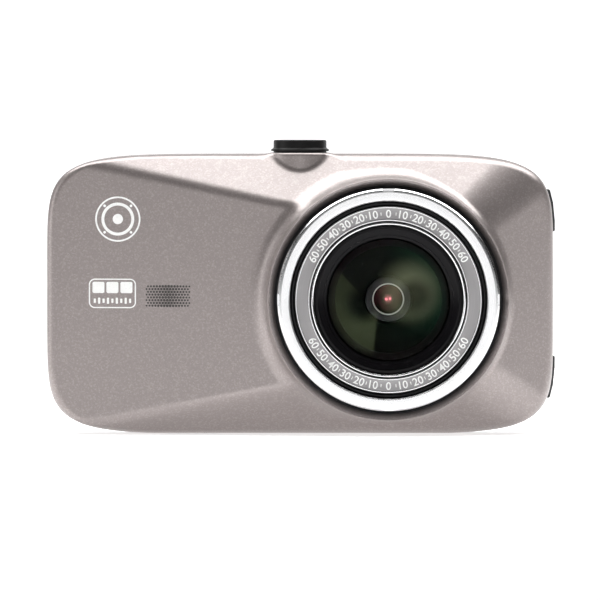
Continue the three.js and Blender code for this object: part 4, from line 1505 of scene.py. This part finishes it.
@dataclass
class Prints(Assembly):
    """Generic pad prints on the left slanting face: a lens icon, a badge of bars and a dot pattern."""

    shell: FrontShell
    proud: float = 0.035
    icon: tuple[float, float, float] = (-37.0, 43.6, 4.6)
    badge: tuple[float, float, float, float] = (-38.1, 28.5, 9.6, 6.0)
    dots: tuple[float, float, float, float] = (-26.8, 28.0, 9.0, 4.5)

    def depth(self, x: float, z: float) -> float:
        """Depth of the face under a place."""
        return self.shell.facet(x, z)

    def patch(self, shape: Shape, outline: Sequence[Pair]) -> None:
        """Adds a thin solid that follows the face."""
        front = [shape.mesh.verts.new(point(x, self.depth(x, z) + self.proud, z)) for x, z in outline]
        back = [shape.mesh.verts.new(point(x, self.depth(x, z) - 0.05, z)) for x, z in outline]
        shape.mesh.faces.new(front)
        shape.mesh.faces.new(back[::-1])
        for index in range(len(outline)):
            after = (index + 1) % len(outline)
            shape.mesh.faces.new((front[after], front[index], back[index], back[after]))

    def band(self, shape: Shape, outer: Sequence[Pair], inner: Sequence[Pair]) -> None:
        """Adds a thin ring that follows the face."""
        rows = [
            [shape.mesh.verts.new(point(x, self.depth(x, z) + lift, z)) for x, z in outline]
            for outline, lift in ((outer, self.proud), (inner, self.proud), (inner, -0.05), (outer, -0.05))
        ]
        for one, other in zip(rows, [*rows[1:], rows[0]]):
            for index in range(len(outer)):
                after = (index + 1) % len(outer)
                shape.mesh.faces.new((one[index], one[after], other[after], other[index]))

    def lens_icon(self) -> Shape:
        """Two rings, a dot and four short marks."""
        x, z, radius = self.icon
        shape = Shape()
        self.band(shape, circle(x, z, radius, 64), circle(x, z, radius - 0.34, 64))
        self.band(shape, circle(x, z, radius - 1.25, 64), circle(x, z, radius - 1.85, 64))
        self.patch(shape, circle(x, z, 1.05, 32))
        for turn in (0, 90, 180, 270):
            angle = math.radians(turn + 45)
            centre = (x + (radius - 0.8) * math.cos(angle), z + (radius - 0.8) * math.sin(angle))
            self.patch(shape, circle(*centre, 0.28, 16))
        return shape.sound()

    def badge_icon(self) -> Shape:
        """Outlined badge with a solid band above and a row of bars below."""
        x, z, width, height = self.badge
        shape = Shape()
        inner = rectangle(x, z, width - 0.5, height - 0.5, 0.95)
        self.band(shape, rectangle(x, z, width, height, 1.2), inner)
        for index in range(3):
            centre = x - width / 2 + 1.95 + index * (width - 3.9) / 2
            self.patch(shape, rectangle(centre, z + height * 0.2, 2.45, 2.3, 0.35))
        for index in range(9):
            centre = x - width / 2 + 1.2 + index * (width - 2.4) / 8
            self.patch(shape, rectangle(centre, z - height * 0.25, 0.45, 0.9 + 0.35 * (index % 2), 0.12, 3))
        return shape.sound()

    def dot_pattern(self) -> Shape:
        """Staggered dark dots that grow from the ends to the middle."""
        x, z, width, height = self.dots
        shape = Shape()
        columns, rows = 15, 8
        for row in range(rows):
            for column in range(columns):
                shift = 0.25 if row % 2 else -0.25
                across = (column + 0.5 + shift) / columns - 0.5
                upright = (row + 0.5) / rows - 0.5
                size = 0.13 + 0.17 * (1 - abs(across) * 1.3)
                self.patch(shape, circle(x + across * width, z + upright * height, size, 10))
        return shape.sound()

    def build(self) -> None:
        """Makes the three prints."""
        self.keep(self.lens_icon().object("print_lens_icon", WHITE_INK), Body.CASE)
        self.keep(self.badge_icon().object("print_badge", WHITE_INK), Body.CASE)
        self.keep(self.dot_pattern().object("print_dot_pattern", DARK_INK), Body.CASE)
        self.log()


# ---- lens -------------------------------------------------------------------------------------------


@dataclass
class Lens(Assembly):
    """Rings, cone, glasses and barrel of the lens, all turned about its axis."""

    steps: int = 180
    notch: Corner = (2.4, 0.45, 2.0)

    def ring(self, name: str, profile: Sequence[Corner], finish: Finish) -> bpy.types.Object:
        """A turned ring, not yet kept.

        Args:
            name: Name of the piece.
            profile: Corners as (radius, depth, rounding).
            finish: Its finish.

        Returns:
            The piece.
        """
        shape = Shape().turned(rounded(profile), LENS_AXIS, Axis.LENS, self.steps)
        return shape.object(name, finish, 30.0)

    def stand_in(self, name: str, node: str, profile: Sequence[Corner], finish: Finish) -> None:
        """Keeps a turned ring in place of a CAD node."""
        self.keep(self.ring(name, profile, finish), Body.CASE, [node], finish.slot)

    def bezel(self) -> None:
        """Bright bezel with four notches in its rim."""
        start, front = depths("lens_bezel_ring")
        outer = outer_radius("lens_bezel_ring") - 0.2
        profile = [(20.0, start, 0.1), (outer, start, 0.1), (outer, front - 0.45, 0.12),
                   (outer - 0.30, front - 0.06, 0.15), (outer - 0.8, front, 0.25), (20.22, front, 0.12),
                   (20.0, front - 0.3, 0.1)]
        ring = self.ring("lens_bezel", profile, BRIGHT_RING)
        width, depth, reach = self.notch
        cutters = []
        for turn in (0, 90, 180, 270):
            angle = math.radians(turn)
            shape = Shape().block(
                Vector((-width / 2, -reach, -depth)), Vector((width / 2, reach, depth + 1)))
            shape.bevel(0.25, 3, lambda edge: is_along(edge, 1))
            place = point(LENS.x + outer * math.sin(angle), front, LENS.z + outer * math.cos(angle))
            bmesh.ops.transform(
                shape.mesh, verts=shape.mesh.verts,
                matrix=Matrix.Translation(place) @ Matrix.Rotation(angle, 4, "Y"))
            cutters.append(shape.object("opening", BRIGHT_RING))
        cut(ring, cutters)
        self.keep(ring, Body.CASE, ["lens_bezel_ring"], BRIGHT_RING.slot)

    def groove(self) -> None:
        """Black spacer with a raised line between the bezel and the name ring."""
        start, front = depths("groove_ring")
        outer = outer_radius("groove_ring")
        profile = [(19.2, start, 0.0), (outer, start, 0.0), (outer, front - 0.5, 0.05),
                   (outer - 0.12, front, 0.06), (19.32, front, 0.06), (19.2, front - 0.5, 0.05)]
        self.stand_in("lens_groove", "groove_ring", profile, GROOVE_BLACK)

    def name_ring(self) -> None:
        """Satin ring with a bright step on each edge."""
        start, front = depths("name_ring")
        outer = outer_radius("name_ring")
        profile = [(15.95, start, 0.0), (outer, start, 0.0), (outer, front + 0.05, 0.08),
                   (outer - 0.3, front + 0.12, 0.08), (outer - 0.36, front, 0.03), (16.33, front, 0.03),
                   (16.27, front + 0.1, 0.06), (15.95, front + 0.02, 0.08)]
        self.stand_in("lens_name_ring", "name_ring", profile, SATIN_RING)
        for label, inner in (("outer", outer - 0.30), ("inner", 16.02)):
            low, high = front - 0.2, front + 0.16
            profile = [(inner, low, 0.0), (inner + 0.22, low, 0.0), (inner + 0.22, high, 0.05),
                       (inner, high, 0.05)]
            line = self.ring(f"lens_name_ring_{label}_line", profile, TRIM_RING)
            self.keep(line, Body.CASE, (), TRIM_RING.slot)

    def trim(self) -> None:
        """Thin bright ring that holds the cone."""
        start, front = depths("inner_trim_ring")
        outer = outer_radius("inner_trim_ring")
        profile = [(15.2, start, 0.0), (outer, start, 0.0), (outer, front - 0.12, 0.1),
                   (outer - 0.22, front, 0.1), (15.2, front - 0.2, 0.1)]
        self.stand_in("lens_trim", "inner_trim_ring", profile, TRIM_RING)

    def cone(self) -> None:
        """Gloss black cone that leads in to the front glass, with two fine steps."""
        start, front = depths("lens_cone")
        outer = outer_radius("lens_cone")
        profile = [(12.5, start, 0.0), (outer, start, 0.0), (outer, front, 0.15), (14.3, front, 0.1),
                   (14.05, front - 0.18, 0.05), (13.2, front - 0.45, 0.05), (13.05, front - 0.6, 0.05),
                   (12.5, front - 0.75, 0.12)]
        self.stand_in("lens_cone_detail", "lens_cone", profile, GLOSS_BLACK)

    def glass(self, name: str, node: str, front: Corner, rear: Corner, finish: Finish) -> None:
        """A lens element between two spherical faces.

        Args:
            name: Name of the piece.
            node: The CAD node.
            front: Radius, edge depth and apex depth of the front face.
            rear: Radius, edge depth and apex depth of the rear face.
            finish: Its glass.
        """
        profile = [*reversed(dome(*rear, 28)), *dome(*front, 40)]
        shape = Shape().turned(profile, LENS_AXIS, Axis.LENS, self.steps)
        piece = shape.object(name, finish, 30.0)
        piece.data.materials.append(GROOVE_BLACK.material())
        for face in piece.data.polygons:
            face.material_index = int(abs(face.normal.y) < 0.7)
        self.keep(piece, Body.CASE, [node], finish.slot)

    def inner_ring(self) -> None:
        """Retaining ring of the inner element, black with a bright lip."""
        start, front = depths("inner_lens_ring")
        outer = outer_radius("inner_lens_ring")
        profile = [(3.32, start, 0.0), (outer, start, 0.05), (outer, front, 0.1), (3.32, front, 0.1)]
        self.stand_in("inner_lens_ring_body", "inner_lens_ring", profile, GROOVE_BLACK)
        lip = [(3.05, start, 0.0), (3.30, start, 0.0), (3.30, front + 0.1, 0.08), (3.05, front + 0.1, 0.08)]
        self.keep(self.ring("inner_lens_ring_lip", lip, INNER_RING), Body.CASE, (), INNER_RING.slot)

    def build(self) -> None:
        """Builds the lens from the bezel inwards."""
        self.bezel()
        self.groove()
        self.name_ring()
        self.trim()
        self.cone()
        self.glass("front_glass", "front_lens", (12.2, 26.9, 30.4), (10.5, 24.3, 28.4), COATED)
        self.inner_ring()
        self.glass("middle_glass", "middle_lens", (4.5, 17.6, 18.7), (4.5, 17.2, 16.5), MAGENTA_GLASS)
        self.glass("rear_glass", "rear_lens", (4.5, 14.4, 15.3), (4.5, 13.2, 12.2), INNER_GLASS)
        self.refine("lens_barrel", BARREL, bevel=0.15, smooth=50.0)
        self.refine("aperture_disc", BARREL, bevel=0.0)
        self.refine("infrared_filter", INNER_GLASS, bevel=0.08)
        self.refine("lens_mount", CASE_BLACK, bevel=0.15)
        self.log()


@dataclass
class NameScale(Assembly):
    """White degree scale on the name ring, on an upper and a lower arc."""

    radius: float = 17.42
    height: float = 1.62
    reach: int = 60
    step: int = 10
    lift: float = 0.03
    tick: Pair = (0.16, 0.62)

    def numeral(self, text: str) -> bmesh.types.BMesh:
        """A number as a thin solid centred on the origin, in millimetres, upright in XY."""
        curve = bpy.data.curves.new("numeral", "FONT")
        curve.body = text
        curve.size = self.height * 1.38
        curve.align_x, curve.align_y = "CENTER", "CENTER"
        curve.offset = 0.035
        curve.extrude = self.lift
        curve.resolution_u = 4
        carrier = bpy.data.objects.new("numeral", curve)
        bpy.context.scene.collection.objects.link(carrier)
        bpy.context.view_layer.update()
        mesh = bpy.data.meshes.new_from_object(carrier.evaluated_get(bpy.context.evaluated_depsgraph_get()))
        bpy.data.objects.remove(carrier, do_unlink=True)
        work = bmesh.new()
        work.from_mesh(mesh)
        xs = [vertex.co.x for vertex in work.verts]
        ys = [vertex.co.y for vertex in work.verts]
        centre = Vector(((min(xs) + max(xs)) / 2, (min(ys) + max(ys)) / 2, 0.0))
        bmesh.ops.translate(work, verts=work.verts, vec=-centre)
        return work

    def place(self, turn: float, is_lower: bool) -> Matrix:
        """Matrix from a mark's own millimetres to its place on the ring."""
        angle = math.radians(turn)
        side = -1 if is_lower else 1
        _, front = depths("name_ring")
        across, upright = self.radius * math.sin(angle), side * self.radius * math.cos(angle)
        spot = point(LENS.x + across, front, LENS.z + upright)
        lean = Matrix.Rotation(angle * side, 4, "Y")
        stand = Matrix.Rotation(math.pi / 2, 4, "X")
        return Matrix.Translation(spot) @ lean @ stand @ Matrix.Scale(MM, 4)

    def build(self) -> None:
        """Numbers every step and a tick between them."""
        shape = Shape()
        for is_lower in (False, True):
            for turn in range(-self.reach, self.reach + 1, self.step):
                work = self.numeral(str(abs(turn)))
                bmesh.ops.transform(work, verts=work.verts, matrix=self.place(turn, is_lower))
                mesh = bpy.data.meshes.new("mark")
                work.to_mesh(mesh)
                work.free()
                shape.mesh.from_mesh(mesh)
                bpy.data.meshes.remove(mesh)
            for turn in range(-self.reach + self.step // 2, self.reach, self.step):
                size = Matrix.Diagonal(Vector((*self.tick, 2 * self.lift, 1.0)))
                bmesh.ops.create_cube(shape.mesh, size=1.0, matrix=self.place(turn, is_lower) @ size)
        self.keep(shape.object("name_ring_scale", WHITE_INK), Body.CASE)
        self.log()


# ---- mount, keys and fasteners ----------------------------------------------------------------------


@dataclass
class Turret(Assembly):
    """Turning stub with its twist-lock slot, washer and screw."""

    radius: float = 5.4
    skirt_radius: float = 5.9
    skirt: Pair = (57.35, 57.9)
    top: float = 59.65
    bottom: float = 50.9
    mouth: Pair = (8.0, 4.6)
    neck: float = 57.65
    chamber_radius: float = 4.3
    chamber_bottom: float = 54.6

    def build(self) -> None:
        """Turns the stub, cuts its slot and dresses it with its fittings."""
        profile = rounded([
            (0.0, self.bottom, 0), (self.radius, self.bottom, 0.2), (self.radius, self.skirt[0], 0.0),
            (self.skirt_radius, self.skirt[0], 0.12), (self.skirt_radius, self.skirt[1] - 0.15, 0.2),
            (self.radius, self.skirt[1] + 0.1, 0.3), (self.radius, self.top, 0.35), (0.0, self.top, 0),
        ])
        axis = Vector((STUB.x, STUB.y, 0.0))
        shape = Shape().turned(profile, axis, Axis.UPRIGHT, 120)
        stub = shape.object("mount_turret_detail", TURRET_BLACK, 30.0)
        width, length = self.mouth
        slot = Shape().block(
            Vector((STUB.x - width / 2, STUB.y - length / 2, self.neck - 0.5)),
            Vector((STUB.x + width / 2, STUB.y + length / 2, self.top + 1)))
        slot.bevel(0.5, 4, lambda edge: is_along(edge, 2))
        chamber = Shape().turned(rounded([
            (0.0, self.chamber_bottom, 0), (self.chamber_radius, self.chamber_bottom, 0.3),
            (self.chamber_radius, self.neck, 0.1), (0.0, self.neck, 0),
        ]), axis, Axis.UPRIGHT, 96)
        cut(stub, [slot.object("opening", TURRET_BLACK), chamber.object("opening", TURRET_BLACK)])
        self.keep(stub, Body.STUB, ["mount_turret"], TURRET_BLACK.slot)
        self.refine("swivel_washer", TINNED, Body.STUB, 0.08)
        self.refine("swivel_screw", SCREW, Body.STUB, 0.15)
        self.log()


@dataclass
class SideKeys(Assembly):
    """Two keys in the right-hand side."""

    def build(self) -> None:
        """Rounds and dresses the keys."""
        self.refine("power_key", SIDE_KEY_BLACK, Body.POWER_KEY, 0.3, 4)
        self.refine("lock_key", SIDE_KEY_BLACK, Body.LOCK_KEY, 0.3, 4)
        self.log()


@dataclass
class RearKeys(Assembly):
    """Five keys beside the screen, each with a printed sign."""

    NODES = ("menu_key", "mode_key", "up_key", "ok_key", "down_key")

    def sign(self, node: str) -> list[list[Pair]]:
        """Outlines of a key's sign, about the key's centre."""
        signs = {
            "menu_key": [rectangle(0, height, 2.6, 0.32, 0.1, 3) for height in (-0.75, 0.0, 0.75)],
            "mode_key": [rectangle(-0.75, 0, 0.9, 1.7, 0.2, 3), rectangle(0.75, 0, 0.9, 1.7, 0.2, 3)],
            "up_key": [[(-1.0, -0.55), (1.0, -0.55), (0.0, 0.85)]],
            "ok_key": [circle(0, 0, 0.75, 24)],
            "down_key": [[(-1.0, 0.55), (0.0, -0.85), (1.0, 0.55)]],
        }
        return signs[node]

    def build(self) -> None:
        """Rounds the keys and prints their signs."""
        bodies = (Body.MENU_KEY, Body.MODE_KEY, Body.UP_KEY, Body.OK_KEY, Body.DOWN_KEY)
        for node, body in zip(self.NODES, bodies):
            self.refine(node, KEY_CHARCOAL, body, 0.28, 4)
            place = middle(node)
            face, _ = depths(node)
            shape = Shape()
            for outline in self.sign(node):
                shape.slab([(place.x + x, place.z + z) for x, z in outline], face - 0.02, face + 0.02)
            self.keep(shape.object(f"{node}_sign", WHITE_INK), body)
        self.log()


@dataclass
class ScreenUnit(Assembly):
    """Window pane, display panel, its frame and flexible tail."""

    def build(self) -> None:
        """Makes the pane and dresses the rest."""
        low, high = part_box("screen_window")
        pane = rounded_box(low / MM, high / MM, 1.5, 0.12, 2).object("screen_window_detail", SCREEN)
        self.keep(pane, Body.CASE, ["screen_window"], SCREEN.slot)
        self.refine("screen_panel", PANEL, bevel=0.15)
        self.refine("screen_frame", TINNED, bevel=0.08)
        self.refine("screen_flex", COPPER, bevel=0.04)
        self.log()


@dataclass
class Fasteners(Assembly):
    """Case screws with cross recesses, and the plain screws of the lens mount."""

    def screw(self, node: str, body: Body) -> None:
        """Refines a screw and cuts a cross into its head."""
        piece = self.refine(node, SCREW, body, 0.12, 3)
        place = middle(node)
        low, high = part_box(node)
        face = depth_of(high.y)
        reach = (high.x - low.x) / (2 * MM)
        cutters = []
        long, short = reach * 1.15, reach * 0.26
        for width, height in ((long, short), (short, long)):
            arm = rectangle(place.x, place.z, width, height, reach * 0.1, 3)
            shape = Shape().slab(arm, face - 0.5, face + 0.55)
            cutters.append(shape.object("opening", SCREW))
        cut(piece, cutters)

    def build(self) -> None:
        """Makes every screw."""
        for index in range(1, 5):
            self.screw(f"case_screw_{index}", Body.CASE)
        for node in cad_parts:
            if node.startswith("lens_mount_screw"):
                self.refine(node, SCREW, Body.CASE, 0.1)
        self.log()


@dataclass
class Electronics(Assembly):
    """Board, chips, sockets, battery, speaker and lights inside the case."""

    FINISHES = {
        "main_board": (BOARD, 0.05), "processor": (EPOXY, 0.1), "memory_chip": (EPOXY, 0.08),
        "image_sensor": (EPOXY, 0.06), "loudspeaker": (EPOXY, 0.2), "thermal_pad": (SILICONE, 0.08),
        "power_coil": (COPPER, 0.3), "battery": (FOIL, 0.4), "shield_can": (TINNED, 0.12),
        "microphone": (TINNED, 0.12), "usb_socket": (TINNED, 0.06), "card_socket": (TINNED, 0.08),
        "power_light_pipe": (PIPE, 0.15), "record_light_pipe": (PIPE, 0.15),
    }

    def build(self) -> None:
        """Dresses every inner piece, the switches and the card."""
        for node, (finish, bevel) in self.FINISHES.items():
            self.refine(node, finish, bevel=bevel)
        self.refine("memory_card", CARD, Body.CARD, 0.06)
        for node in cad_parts:
            if "switch" in node:
                self.refine(node, TINNED, bevel=0.08)
            elif "diode" in node:
                self.refine(node, PIPE, bevel=0.08)
        self.log()


# ---- studio -----------------------------------------------------------------------------------------


@dataclass
class Studio:
    """Pale seamless floor, soft lights and the camera."""

    distance: float = 2.4
    lift: float = 1.2
    turn: float = 0.0
    target: Corner = (0.0, 0.0, 0.0271)
    frame_width: float = 0.122
    half_width: float = 4.0
    depth: float = 3.6
    height: float = 2.5
    bend: float = 0.8
    wall_start: float = 0.4

    def floor(self) -> None:
        """Pale floor that runs up into a wall behind the dash camera."""
        shape = Shape()
        depth, bend = self.depth, self.bend
        path = [(-self.half_width, 0.0), (self.wall_start, 0.0), (depth - bend, 0.0)]
        for step in range(1, 13):
            turn = math.pi / 2 * step / 12
            path.append((depth - bend + bend * math.sin(turn), bend - bend * math.cos(turn)))
        path.append((depth, self.height))
        rows = [
            [shape.mesh.verts.new((x, y, z - 0.0002)) for y, z in path]
            for x in (-self.half_width, self.half_width)
        ]
        for index in range(len(path) - 1):
            shape.mesh.faces.new((rows[0][index], rows[1][index], rows[1][index + 1], rows[0][index + 1]))
        for face in shape.mesh.faces:
            face.material_index = int(face.calc_center_median().y > self.wall_start)
        sweep = bpy.data.objects.new("studio_sweep", shape.data("studio_sweep", 60.0))
        bpy.context.scene.collection.objects.link(sweep)
        sweep.data.materials.append(self.paper("studio_paper", 0.62))
        sweep.data.materials.append(self.paper("studio_wall", 0.9))

    def paper(self, name: str, light: float) -> bpy.types.Material:
        """White paper, lit from behind by a given strength."""
        made = bpy.data.materials.new(name)
        made.use_nodes = True
        surface = made.node_tree.nodes["Principled BSDF"]
        surface.inputs["Base Color"].default_value = (0.90, 0.90, 0.90, 1.0)
        surface.inputs["Roughness"].default_value = 0.9
        surface.inputs["Emission Color"].default_value = (1.0, 1.0, 1.0, 1.0)
        surface.inputs["Emission Strength"].default_value = light
        return made

    def light(self, name: str, place: Corner, aim: Corner, size: Pair, power: float) -> None:
        """Adds a soft rectangular light.

        Args:
            name: Its name.
            place: Where it stands, in metres.
            aim: Where it points.
            size: Width and height in metres.
            power: Power in watts.
        """
        lamp = bpy.data.lights.new(name, "AREA")
        lamp.shape = "RECTANGLE"
        lamp.size, lamp.size_y = size
        lamp.energy = power
        made = bpy.data.objects.new(name, lamp)
        made.location = place
        made.rotation_euler = (Vector(aim) - Vector(place)).to_track_quat("-Z", "Y").to_euler()
        bpy.context.scene.collection.objects.link(made)

    def camera(self) -> None:
        """Long lens, almost straight on and a little from above."""
        lens = bpy.data.cameras.new("camera")
        lens.lens = 36.0 * self.distance / self.frame_width
        lens.clip_start = 0.01
        made = bpy.data.objects.new("camera", lens)
        turn, lift = math.radians(self.turn), math.radians(self.lift)
        away = Vector((math.sin(turn) * math.cos(lift), -math.cos(turn) * math.cos(lift), math.sin(lift)))
        aim = Vector(self.target)
        made.location = aim + away * self.distance
        made.rotation_euler = (aim - made.location).to_track_quat("-Z", "Y").to_euler()
        bpy.context.scene.collection.objects.link(made)
        bpy.context.scene.camera = made

    def build(self) -> None:
        """Sets the stage."""
        self.floor()
        self.light("key_light", (0.05, 0.10, 0.62), (0.05, 0.06, 0.03), (1.3, 0.42), 10.0)
        self.light("front_fill", (0.0, -2.7, 0.25), (0.0, 0.0, 0.03), (0.80, 0.72), 2.3)
        self.light("left_fill", (-0.55, -0.08, 0.16), (0.0, 0.0, 0.03), (0.25, 0.3), 0.40)
        world = bpy.data.worlds.new("studio_world")
        bpy.context.scene.world = world
        world.use_nodes = True
        background = world.node_tree.nodes["Background"].inputs
        background["Color"].default_value = (1.0, 1.0, 1.0, 1.0)
        background["Strength"].default_value = 0.03
        bpy.context.scene.view_settings.view_transform = "Standard"
        self.camera()


def main() -> None:
    """Builds every assembly and the studio."""
    logging.basicConfig(level=logging.INFO, format="%(message)s")
    shell = FrontShell()
    assemblies: list[Assembly] = [
        shell, RearCover(shell), Prints(shell), Lens(), NameScale(), Turret(), SideKeys(), RearKeys(),
        ScreenUnit(), Fasteners(), Electronics(),
    ]
    for assembly in assemblies:
        assembly.build()
    Studio().build()


if __name__ == "__main__":
    main()
